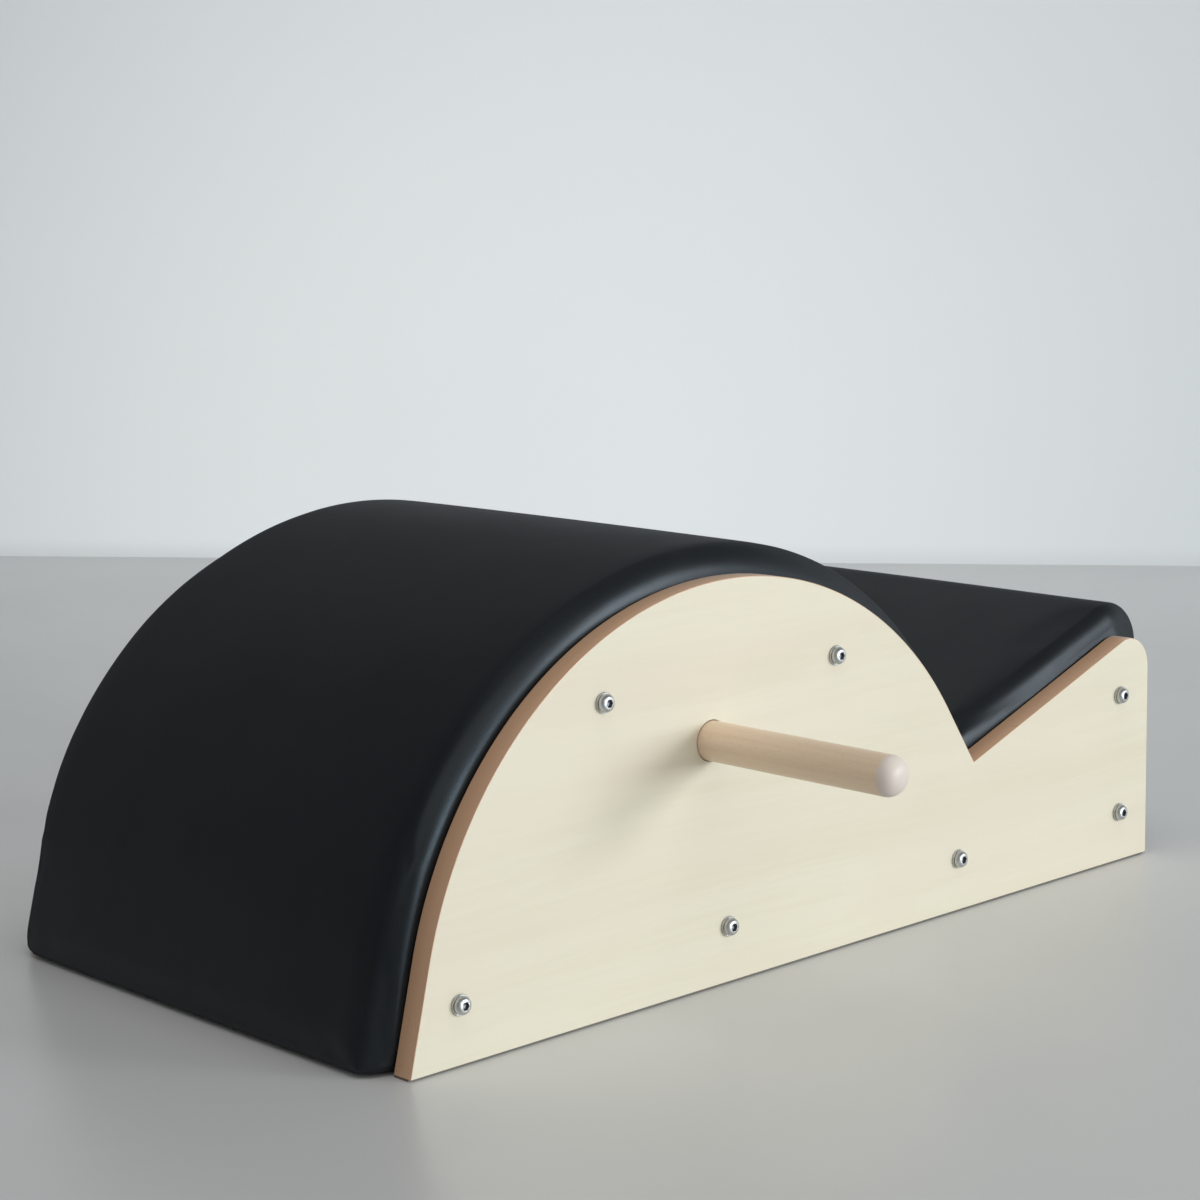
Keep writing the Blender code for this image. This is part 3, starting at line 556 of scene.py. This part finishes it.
def make_vinyl():
    """Black upholstery vinyl: fine pebbles that scatter more at a slant, and a faintly cloudy gloss."""
    material, tree, shader, place = new_finish("black_vinyl_skin")
    pebbles = node(tree, "ShaderNodeTexVoronoi", {"feature": "SMOOTH_F1"},
                   {"Scale": 1100.0, "Smoothness": 0.6}, {"Vector": place})
    pores = node(tree, "ShaderNodeTexNoise", None, {"Scale": 700.0, "Detail": 3.0, "Roughness": 0.6},
                 {"Vector": place})
    give = node(tree, "ShaderNodeTexNoise", None, {"Scale": 16.0, "Detail": 2.0, "Roughness": 0.45},
                {"Vector": place})
    marks = add_handling(tree, shader, place, 7.0, 0.27, 0.33)
    slant = node(tree, "ShaderNodeLayerWeight", None, {"Blend": 0.5})
    scatter = node(tree, "ShaderNodeMapRange", {"interpolation_type": "SMOOTHSTEP"},
                   {"From Min": 0.35, "From Max": 0.8, "To Max": 0.34}, {"Value": slant.outputs["Facing"]})
    rough = node(tree, "ShaderNodeMath", {"operation": "ADD"}, None,
                 {0: marks.outputs["Roughness"], 1: scatter.outputs[0]})
    tree.links.new(rough.outputs[0], shader.inputs["Roughness"])
    tone = node(tree, "ShaderNodeMix", {"data_type": "RGBA"},
                {"A": (0.0085, 0.0095, 0.0110, 1.0), "B": (0.0120, 0.0130, 0.0150, 1.0)},
                {"Factor": marks.outputs["Mask"]})
    tree.links.new(tone.outputs["Result"], shader.inputs["Base Color"])
    soft = add_bump(tree, shader, give.outputs["Fac"], 0.0006)
    pebbled = add_bump(tree, shader, pebbles.outputs["Distance"], 0.00006, 0.6, soft)
    add_bump(tree, shader, pores.outputs["Fac"], 0.00003, 0.6, pebbled)
    shader.inputs["Specular IOR Level"].default_value = 0.28
    # Painted reflection colour: the bluish specular tint stands in for the blue daylight seen in the
    # vinyl's sheen.
    shader.inputs["Specular Tint"].default_value = (0.78, 0.91, 1.0, 1.0)
    return material


black_vinyl = make_vinyl()


def push_out(pad, held, most):
    """The foam's push. The skin is blown outwards as cloth, held where the boards and staples grip it, no
    point moves further than most, and the result replaces the mesh's own points."""
    count = len(pad.data.vertices)
    rest = np.empty(count * 3)
    pad.data.vertices.foreach_get("co", rest)
    rest = rest.reshape(-1, 3)
    staples = pad.vertex_groups.new(name="staples")
    staples.add(np.flatnonzero(held).tolist(), 1.0, "REPLACE")
    foam = pad.modifiers.new("foam", "CLOTH")
    foam.settings.quality = 4
    foam.settings.use_pressure = True
    foam.settings.uniform_pressure_force = FOAM_PUSH
    foam.settings.effector_weights.gravity = 0.0
    foam.settings.vertex_group_mass = "staples"
    foam.collision_settings.use_collision = False
    for step in range(1, FOAM_STEPS + 1):
        bpy.context.scene.frame_set(step)
    graph = bpy.context.evaluated_depsgraph_get()
    blown = np.empty(count * 3)
    pad.evaluated_get(graph).data.vertices.foreach_get("co", blown)
    move = blown.reshape(-1, 3) - rest
    size = np.linalg.norm(move, axis=1, keepdims=True)
    move *= np.minimum(1.0, most / np.maximum(size, 1e-9))
    pad.modifiers.remove(foam)
    pad.vertex_groups.remove(staples)
    bpy.context.scene.frame_set(1)
    pad.data.vertices.foreach_set("co", (rest + move).ravel())
    pad.data.update()


def make_pad(name, side_view, section, node_names, material):
    """A pad: sections carried along the side view's run, closed at the ends and pushed out by the foam."""
    y, level = section
    points = at_width(side_view(level), y)
    rows, columns = y.shape
    faces = grid_faces(rows, columns, close_columns=True)
    faces += [list(range(columns)), list(range((rows - 1) * columns, rows * columns))]
    pad = closed_piece(name, points, faces, material, "frame", 60.0)
    held = level < 0.0
    held[:STAPLED_ROWS] = True
    held[-STAPLED_ROWS:] = True
    push_out(pad, held.ravel(), FOAM_SWELL)
    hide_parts(*node_names)


def run_stations(straight, ends):
    """Stations of a run: evenly along its straight and bent lengths, and closer at its ends."""
    return np.unique(np.round(np.concatenate([*straight, *ends]), 6))


def end_stations(end_round):
    """Distances from a pad's end: close together where it rounds over, and two at its end wall."""
    rounding = end_round * (1.0 - np.cos(np.linspace(0.0, math.pi / 2, PAD_CUTS["end"])))
    return np.concatenate([rounding, [WRAP - END_WALL, WRAP]])


def run_length(side_view, start, end):
    """The length of a straight run of the pad's top."""
    return float(np.linalg.norm(side_view(end, PAD_TOP, 0.0) - side_view(start, PAD_TOP, 0.0)))


foot_length = run_length(barrel_side_view, -1.0, 0.0)
box_edge = WRAP - 0.5 * END_WALL
barrel_runs = run_stations(
    [np.linspace(-1.0, 0.0, BARREL_STATIONS["foot"]), np.linspace(0.0, 1.0, BARREL_STATIONS["arc"]),
     [1.5, 2.0]],
    [-1.0 + end_stations(FOOT_END_ROUND) / foot_length])
barrel_boxed = barrel_runs < -1.0 + box_edge / foot_length
from_floor = (barrel_runs + 1.0) * foot_length
far_turns = np.radians([-76.0, -64.0, -56.0, -48.0, -40.0, -33.0, -25.0, -10.0, 10.0, 56.5])
far_rounds = [0.012, 0.0115, 0.013, 0.0155, 0.0175, 0.021, 0.027, 0.028, 0.024, 0.018]
soft_shoulder = np.interp(barrel_runs, (far_turns + FOOT_TURN) / (FOOT_TURN + VALLEY_TURN), far_rounds)
near_corner = rounded_drop(from_floor, NEAR_CORNER["tall"], NEAR_CORNER["deep"])
far_corner = rounded_drop(from_floor, FAR_CORNER["tall"], FAR_CORNER["deep"])
every = np.ones(len(barrel_runs))
y, level = pad_section(NEAR_ROUND * every, NEAR_RISE, soft_shoulder, NEAR_HALF_WIDTH - near_corner,
                       PAD_HALF_WIDTH - far_corner, PAD_TOP * every, SHELL_UNDER, SHELL_TOP, SHELL_UNDER,
                       barrel_boxed)
level = squeezed(level, rounded_drop(from_floor, FOOT_END_ROUND, FOOT_END_DROP), PAD_TOP, SHELL_UNDER)
make_pad("barrel_pad", lambda level: barrel_side_view(barrel_runs[:, None], level, 0.0), (y, level),
         ["barrel_cover", "barrel_foam"], black_vinyl)


# Seat pad. The same vinyl over foam on the seat's two boards: rounded where it dips into the valley, flat
# up the slope, over the top corner in one soft curve, and down the end to just above the floor.

SEAT_CORNER = 0.040
VALLEY_GAP = 0.0012
VALLEY_ROUND = 0.004
VALLEY_DROP = 0.0025
SEAT_END_CORNER = {"tall": 0.010, "deep": 0.004}
SEAT_STATIONS = (41, 25, 31)
ELSEWHERE = 10.0
SEAT_NEAR_ROUND = 0.015
SEAT_NEAR_RISE = 0.038
SEAT_FAR_ROUND = 0.020
corner_inside = PAD_TOP - SEAT_CORNER
corner_x = STEP_END + corner_inside
corner_middle = np.array([corner_x, slope_height(corner_x, corner_inside)])


def barrel_pad_level(y):
    """How far the barrel pad stands off the arc at this place across: its top less its round shoulders."""
    near = rounded_drop(NEAR_HALF_WIDTH + y, NEAR_ROUND, NEAR_RISE)
    far = rounded_drop(PAD_HALF_WIDTH - y, far_rounds[-1], far_rounds[-1])
    return PAD_TOP + PAD_CROWN - near - far


def seat_side_view(run, level, inset, y=0.0):
    """The seat's layers in side view. A run from 0 to 1 climbs the slope from the valley, where the end is
    pressed against the barrel pad's own section, 1 to 2 goes round the top corner's arc by equal turns,
    and 2 to 3 comes down the end; inset shortens both ends."""
    run, level = np.broadcast_arrays(np.asarray(run, float), np.asarray(level, float))
    turn = -SLOPE + (math.pi / 2 + SLOPE) * np.clip(run - 1.0, 0.0, 1.0)
    arc = corner_middle + (level - corner_inside)[..., None] * outward(turn)
    touching = over_barrel(VALLEY_TURN, barrel_pad_level(np.asarray(y)) + VALLEY_GAP + inset)
    down = np.array([math.cos(VALLEY_TURN), -math.sin(VALLEY_TURN)])
    above = (touching[..., 1] - slope_height(touching[..., 0], level)) * math.cos(SLOPE)
    valley = touching + (above / -(down @ OFF_SLOPE))[..., None] * down
    low_end = np.stack([STEP_END + level, FLOOR_GAP + inset + 0.0 * level], -1)
    before = np.clip(1.0 - run, 0.0, 1.0)[..., None]
    after = np.clip(run - 2.0, 0.0, 1.0)[..., None]
    return arc + before * (valley - arc) + after * (low_end - arc)


slope_length = run_length(seat_side_view, 0.0, 1.0)
end_length = run_length(seat_side_view, 2.0, 3.0)
seat_runs = run_stations(
    [np.linspace(start, start + 1.0, count) for start, count in enumerate(SEAT_STATIONS)],
    [end_stations(VALLEY_ROUND) / slope_length, 3.0 - end_stations(FOOT_END_ROUND) / end_length])
seat_boxed = (seat_runs < box_edge / slope_length) | (seat_runs > 3.0 - box_edge / end_length)
from_valley = np.clip(seat_runs, 0.0, 1.0) * slope_length + ELSEWHERE * (seat_runs > 1.0)
to_floor = np.clip(3.0 - seat_runs, 0.0, 1.0) * end_length + ELSEWHERE * (seat_runs < 2.0)
end_corner = rounded_drop(to_floor, SEAT_END_CORNER["tall"], SEAT_END_CORNER["deep"])
every = np.ones(len(seat_runs))
y, level = pad_section(SEAT_NEAR_ROUND * every, SEAT_NEAR_RISE, SEAT_FAR_ROUND * every,
                       NEAR_HALF_WIDTH - end_corner, PAD_HALF_WIDTH - end_corner, PAD_TOP * every,
                       SEAT_BOARD_UNDER, SHELL_TOP, SEAT_BOARD_UNDER, seat_boxed)
seat_drop = rounded_drop(from_valley, VALLEY_ROUND, VALLEY_DROP)
seat_drop += rounded_drop(to_floor, FOOT_END_ROUND, FOOT_END_DROP)
level = squeezed(level, seat_drop, PAD_TOP, SEAT_BOARD_UNDER)
make_pad("seat_pad", lambda level: seat_side_view(seat_runs[:, None], level, 0.0, y), (y, level),
         ["seat_cover", "seat_foam"], black_vinyl)


# Pegs. Each handle is a 30 mm beech dowel, turned, sanded to a soft dome at its tip and oiled. It slides
# into its board and block, and pulls straight out.

PEG_RADIUS = 0.015
PEG_REACH = 0.182
PEG_ROOT = -0.058
PEG_TIP = 0.0125
PEG_CHAMFER = 0.002
PEG_CUTS = {"around": 96, "tip": 19, "along": 23}
TIP_POWER = 0.8


def make_peg(side, sign):
    """A dowel turned about its own axis: a profile of radius and reach, from the tip's middle to the
    root's. The tip is a full quarter ellipse, its radius going as the sine of the turn to TIP_POWER."""
    cuts = PEG_CUTS["around"]
    turns = np.linspace(0.0, math.pi / 2, PEG_CUTS["tip"] + 1)[1:]
    straight = np.linspace(PEG_REACH - PEG_TIP, PEG_ROOT + PEG_CHAMFER, PEG_CUTS["along"] + 1)[1:]
    radius = np.concatenate([PEG_RADIUS * np.sin(turns) ** TIP_POWER, np.full(len(straight), PEG_RADIUS),
                             [PEG_RADIUS - PEG_CHAMFER]])
    reach = np.concatenate([PEG_REACH - PEG_TIP * (1.0 - np.cos(turns)), straight, [PEG_ROOT]])
    around = np.linspace(0.0, 2.0 * math.pi, cuts, endpoint=False)
    side_view = np.array([PEG_X, PEG_Z]) + radius[:, None, None] * outward(around)[None]
    rings = at_width(side_view, sign * (BOARD_OUTER + reach)[:, None])
    middles = [[PEG_X, sign * (BOARD_OUTER + end), PEG_Z] for end in (PEG_REACH, PEG_ROOT)]
    points = np.vstack([rings.reshape(-1, 3), middles])
    rows = len(radius)
    faces = grid_faces(rows, cuts, close_columns=True)
    spot = np.arange(cuts)
    after = (spot + 1) % cuts
    for ring, middle in ((0, rows * cuts), ((rows - 1) * cuts, rows * cuts + 1)):
        faces += np.stack([ring + spot, ring + after, np.full(cuts, middle)], -1).tolist()
    peg = closed_piece(f"{side}_beech_peg", points, faces, oiled_beech, f"{side}_peg", 35.0)
    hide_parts(f"handle_{side}")


def make_beech():
    """Beech: long fine grain along the dowel with short darker flecks, and a paler colour over the domed
    tip.
    """
    material, tree, shader, grain = wooden_finish(
        "oiled_beech", (0.86, 0.685, 0.52), (0.78, 0.59, 0.42), 260.0, 0.01, 0.34, 0.46, 0.00003,
        (0.0, 0.0, math.pi / 2))
    place = tree.nodes["Texture Coordinate"].outputs["Object"]
    narrow = node(tree, "ShaderNodeMapping", None, {"Scale": (900.0, 130.0, 900.0)}, {"Vector": place})
    flecks = node(tree, "ShaderNodeTexVoronoi", {"feature": "F1"}, {"Scale": 1.0},
                  {"Vector": narrow.outputs[0]})
    fleck = node(tree, "ShaderNodeMapRange", None, {"From Min": 0.30, "From Max": 0.12, "To Max": 0.16},
                 {"Value": flecks.outputs["Distance"]})
    marked = node(tree, "ShaderNodeMix", {"data_type": "RGBA"}, {"B": (0.38, 0.22, 0.12, 1.0)},
                  {"Factor": fleck.outputs[0], "A": grain.outputs["Color"]})
    parts = node(tree, "ShaderNodeSeparateXYZ", None, None, {"Vector": place})
    away = node(tree, "ShaderNodeMath", {"operation": "ABSOLUTE"}, None, {0: parts.outputs["Y"]})
    tip_start = BOARD_OUTER + PEG_REACH - PEG_TIP
    tip = node(tree, "ShaderNodeMapRange", {"interpolation_type": "SMOOTHSTEP"},
               {"From Min": tip_start, "From Max": tip_start + 0.003}, {"Value": away.outputs[0]})
    pale = node(tree, "ShaderNodeMix", {"data_type": "RGBA"}, {"B": (0.72, 0.63, 0.56, 1.0)},
                {"Factor": tip.outputs[0], "A": marked.outputs["Result"]})
    tree.links.new(pale.outputs["Result"], shader.inputs["Base Color"])
    return material


oiled_beech = make_beech()
for side, sign in SIDES.items():
    make_peg(side, sign)


# Bolts and washers. Seven zinc-plated button-head bolts a side, each on a flat washer, hold the board to
# the rails behind it. The heads have a hexagonal socket for a 5 mm key.

BOLTS = {"foot": (-0.37241, 0.0445), "centre": (-0.11005, 0.0445), "valley": (0.15780, 0.0445),
         "crown_outer": (-0.23338, 0.23283), "crown_inner": (0.01057, 0.23289),
         "end_low": (0.37475, 0.0445), "end_high": (0.37475, 0.14742)}
WASHER = {"hole": 0.0043, "rim": 0.0077, "thick": 0.0016, "ease": 0.0003}
FIT = 0.0003
HEAD_RIM = 0.0068
HEAD_TALL = 0.0044
KEY_ACROSS = 0.0054
KEY_DEEP = 0.003
KEY_EASE = 0.0002
KEY_CONE = {"wide": 0.3, "deep": 0.0006}
CROWN_FLAT = 0.52
RIM_WALL = 0.0006
DOME_CUTS = 8
SHANK = {"radius": 0.004, "long": 0.060, "ease": 0.001}
BOLT_CUTS = 48


def make_zinc():
    """Bright zinc plate: fine turning marks and a slightly clouded shine, with painted shade dark in a
    socket.
    """
    material, tree, shader, place = new_finish("bright_zinc")
    marks = add_handling(tree, shader, place, 240.0, 0.30, 0.46)
    tone = node(tree, "ShaderNodeMix", {"data_type": "RGBA"},
                {"A": (0.66, 0.67, 0.67, 1.0), "B": (0.50, 0.51, 0.51, 1.0)},
                {"Factor": marks.outputs["Mask"]})
    # Painted shade: the socket's inside is coloured dark for the shade in the recess.
    inside = node(tree, "ShaderNodeAttribute", {"attribute_name": "in_socket"})
    socket_shade = node(tree, "ShaderNodeMix", {"data_type": "RGBA"}, {"B": (0.28, 0.28, 0.29, 1.0)},
                  {"Factor": inside.outputs["Fac"], "A": tone.outputs["Result"]})
    tree.links.new(socket_shade.outputs["Result"], shader.inputs["Base Color"])
    scratches = node(tree, "ShaderNodeTexNoise", None, {"Scale": 1800.0, "Detail": 2.0}, {"Vector": place})
    add_bump(tree, shader, scratches.outputs["Fac"], 0.00001)
    shader.inputs["Metallic"].default_value = 1.0
    return material


bright_zinc = make_zinc()


def turned_set(name, profile, hexed, sign, base_y, closed):
    """The same turned profile at all seven places. Each ring's radius is the profile's own, or where it is
    hexed, the distance to a hexagon's side in that direction: half its width over the cosine of the turn
    from the middle of that side. The rings inside the socket are marked for the finish's painted shade."""
    around = np.linspace(0.0, 2.0 * math.pi, BOLT_CUTS, endpoint=False)
    from_flat = (around + math.pi / 6) % (math.pi / 3) - math.pi / 6
    hexagon = 1.0 / np.cos(from_flat)
    radius = profile[:, :1] * np.where(hexed[:, None], hexagon[None], 1.0)
    rows = len(profile)
    points = []
    faces = []
    for x, z in BOLTS.values():
        start = len(points) * rows * BOLT_CUTS
        side_view = np.array([x, z]) + radius[..., None] * outward(around)[None]
        points.append(at_width(side_view, sign * (base_y + profile[:, 1:2])).reshape(-1, 3))
        faces += grid_faces(rows, BOLT_CUTS, start, close_rows=closed, close_columns=True)
        if not closed:
            faces += [list(range(start, start + BOLT_CUTS)),
                      list(range(start + (rows - 1) * BOLT_CUTS, start + rows * BOLT_CUTS))]
    piece = closed_piece(name, np.vstack(points), faces, bright_zinc, "frame", 32.0)
    sunk = np.repeat(hexed & (profile[:, 1] < profile[:, 1].max()), BOLT_CUTS)
    in_socket = np.tile(sunk, len(BOLTS)).astype(np.float32)
    piece.data.attributes.new("in_socket", "FLOAT", "POINT").data.foreach_set("value", in_socket)
    return piece


key_half = KEY_ACROSS / 2
crown_flat = CROWN_FLAT * HEAD_RIM
dome_wide, dome_tall = HEAD_RIM - crown_flat, HEAD_TALL - RIM_WALL
key_floor = HEAD_TALL - KEY_DEEP
socket = [(key_half * KEY_CONE["wide"], key_floor - KEY_CONE["deep"]), (key_half, key_floor),
          (key_half, HEAD_TALL - KEY_EASE), (key_half + KEY_EASE, HEAD_TALL)]
dome = [(crown_flat + dome_wide * math.sin(turn), RIM_WALL + dome_tall * math.cos(turn))
        for turn in np.linspace(0.0, math.pi / 2, DOME_CUTS + 1)]
shank = [(HEAD_RIM, 0.0), (SHANK["radius"], 0.0), (SHANK["radius"], SHANK["ease"] - SHANK["long"]),
         (SHANK["radius"] - SHANK["ease"], -SHANK["long"])]
bolt_profile = np.array(socket + dome + shank)
bolt_hexed = np.arange(len(bolt_profile)) < len(socket)
hole, rim, thick, ease = WASHER["hole"], WASHER["rim"], WASHER["thick"], WASHER["ease"]
washer_profile = np.array([(hole, 0.0), (hole, thick), (rim - ease, thick), (rim, thick - ease),
                           (rim, ease), (rim - ease, 0.0)])
washer_hexed = np.zeros(len(washer_profile), bool)
washer_y = BOARD_OUTER + FIT
bolt_y = washer_y + thick + FIT
for side, sign in SIDES.items():
    washers = turned_set(f"{side}_washers", washer_profile, washer_hexed, sign, washer_y, True)
    bolts = turned_set(f"{side}_bolts", bolt_profile, bolt_hexed, sign, bolt_y, False)
    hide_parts(*[f"washer_{side}_{name}" for name in BOLTS])
    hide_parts(*[f"bolt_{side}_{name}" for name in BOLTS])


# Room and camera. A pale painted floor and a plain pale wall with daylight on it. A window and a long low
# window light them from the right in front. The room, the ceiling and the left only fill in, the last two
# without a reflection on the vinyl. The camera stands where the photograph was taken.

CAMERA_PLACE = (-1.5129, -1.6057, 0.6101)
CAMERA_YAW = math.radians(43.10)
CAMERA_PITCH = math.radians(9.23)
CAMERA_ROLL = math.radians(-1.05)
SENSOR = 36.0
PHOTO_PIXELS = {"focal": 2712.0, "wide": 1200.0}
LENS = SENSOR * PHOTO_PIXELS["focal"] / PHOTO_PIXELS["wide"]
FLOOR_REACH = 9.0
WALL_FOOT = ((0.727, 2.193), (1.846, 0.683))
WALL_BEYOND = 7.0
WALL_HIGH = 1.45
WALL_GLOW = {"middle": (1.18, 1.57, 0.13), "near": 0.2, "far": 1.9, "strength": 0.325}
WALL_BASE = {"high": 0.032, "strength": 0.23}


def make_room_paint(name, pale, deep, rubbed, dull, size):
    """Matt paint with a slow, faint change of tone."""
    material, tree, shader, place = new_finish(name)
    marks = add_handling(tree, shader, place, size, rubbed, dull)
    tone = node(tree, "ShaderNodeMix", {"data_type": "RGBA"}, {"A": (*pale, 1.0), "B": (*deep, 1.0)},
                {"Factor": marks.outputs["Mask"]})
    tree.links.new(tone.outputs["Result"], shader.inputs["Base Color"])
    return material


def make_sheet(name, corners, material):
    """A flat rectangle of the room."""
    mesh = bpy.data.meshes.new(name)
    mesh.from_pydata(corners, [], [(0, 1, 2, 3)])
    mesh.materials.append(material)
    sheet = bpy.data.objects.new(name, mesh)
    bpy.context.scene.collection.objects.link(sheet)


def light_the_wall(material):
    """Daylight on the wall: it fades with the distance from one low spot, and close above the floor."""
    tree = material.node_tree
    shader = tree.nodes["Principled BSDF"]
    place = tree.nodes["Texture Coordinate"].outputs["Object"]
    away = node(tree, "ShaderNodeVectorMath", {"operation": "DISTANCE"}, {1: WALL_GLOW["middle"]},
                {0: place})
    fade = node(tree, "ShaderNodeMapRange", {"interpolation_type": "SMOOTHSTEP"},
                {"From Min": WALL_GLOW["near"], "From Max": WALL_GLOW["far"], "To Min": 1.0, "To Max": 0.0},
                {"Value": away.outputs["Value"]})
    glow = node(tree, "ShaderNodeMix", {"data_type": "RGBA"},
                {"A": (0.10, 0.13, 0.15, 1.0), "B": (0.96, 1.0, 1.0, 1.0)}, {"Factor": fade.outputs[0]})
    height = node(tree, "ShaderNodeSeparateXYZ", None, None, {"Vector": place})
    above_floor = node(tree, "ShaderNodeMapRange", {"interpolation_type": "SMOOTHSTEP"},
                       {"From Min": 0.0, "From Max": WALL_BASE["high"], "To Min": WALL_BASE["strength"],
                        "To Max": WALL_GLOW["strength"]},
                       {"Value": height.outputs["Z"]})
    tree.links.new(glow.outputs["Result"], shader.inputs["Emission Color"])
    tree.links.new(above_floor.outputs[0], shader.inputs["Emission Strength"])


floor_paint = make_room_paint("floor_paint", (0.605, 0.61, 0.61), (0.57, 0.575, 0.575), 0.27, 0.36, 1.3)
floor_paint.node_tree.nodes["Principled BSDF"].inputs["Specular IOR Level"].default_value = 0.65
wall_paint = make_room_paint("wall_paint", (0.68, 0.695, 0.70), (0.65, 0.665, 0.67), 0.7, 0.8, 0.6)
light_the_wall(wall_paint)
floor_corners = [(x * FLOOR_REACH, y * FLOOR_REACH, 0.0) for x, y in ((-1, -1), (1, -1), (1, 1), (-1, 1))]
make_sheet("floor", floor_corners, floor_paint)
start, end = (np.array(point) for point in WALL_FOOT)
along_wall = (end - start) / np.linalg.norm(end - start)
left_foot, right_foot = start - WALL_BEYOND * along_wall, end + WALL_BEYOND * along_wall
make_sheet("wall", [(*left_foot, 0.0), (*right_foot, 0.0), (*right_foot, WALL_HIGH),
                    (*left_foot, WALL_HIGH)], wall_paint)


def make_window(name, place, aim, width, height, watts, colour):
    """An area light at place, facing aim."""
    lamp = bpy.data.lights.new(name, "AREA")
    lamp.shape = "RECTANGLE"
    lamp.size = width
    lamp.size_y = height
    lamp.energy = watts
    lamp.color = colour
    light = bpy.data.objects.new(name, lamp)
    light.location = place
    light.rotation_euler = (Vector(aim) - Vector(place)).to_track_quat("-Z", "Y").to_euler()
    bpy.context.scene.collection.objects.link(light)
    return light


make_window("window_light", (4.6, -7.2, 2.2), (0.0, 0.0, 0.15), 2.4, 1.8, 200.0, (0.96, 0.98, 1.0))
make_window("low_light", (2.7, -8.2, 0.68), (0.0, 0.0, 0.15), 5.2, 1.2, 290.0, (0.80, 0.92, 1.0))
make_window("room_light", (-1.4, -6.4, 3.2), (0.0, 0.0, 0.15), 7.0, 3.6, 72.0, (1.0, 0.97, 0.90))
ceiling = make_window("ceiling_light", (-0.2, -0.8, 3.4), (0.0, 0.0, 0.0), 3.0, 2.4, 38.0,
                      (1.0, 0.99, 0.96))
ceiling.visible_glossy = False
left = make_window("left_light", (-3.6, -1.0, 1.7), (-0.4, 0.0, 0.0), 1.6, 1.4, 9.0, (1.0, 0.95, 0.88))
left.visible_glossy = False

world = bpy.data.worlds.new("room_light")
world.use_nodes = True
world.node_tree.nodes["Background"].inputs["Color"].default_value = (0.86, 0.90, 0.94, 1.0)
world.node_tree.nodes["Background"].inputs["Strength"].default_value = 0.22
bpy.context.scene.world = world
bpy.context.scene.view_settings.view_transform = "Standard"

sight = Vector((math.sin(CAMERA_YAW) * math.cos(CAMERA_PITCH),
                math.cos(CAMERA_YAW) * math.cos(CAMERA_PITCH), -math.sin(CAMERA_PITCH)))
level_right = Vector((math.cos(CAMERA_YAW), -math.sin(CAMERA_YAW), 0.0))
level_up = level_right.cross(sight)
right = level_right * math.cos(CAMERA_ROLL) + level_up * math.sin(CAMERA_ROLL)
upright = -level_right * math.sin(CAMERA_ROLL) + level_up * math.cos(CAMERA_ROLL)
lens = bpy.data.cameras.new("photo_camera")
lens.sensor_width = SENSOR
lens.lens = LENS
lens.clip_start = 0.05
camera = bpy.data.objects.new("photo_camera", lens)
turn = Matrix((right, upright, -sight)).transposed().to_4x4()
camera.matrix_world = Matrix.Translation(CAMERA_PLACE) @ turn
bpy.context.scene.collection.objects.link(camera)
bpy.context.scene.camera = camera
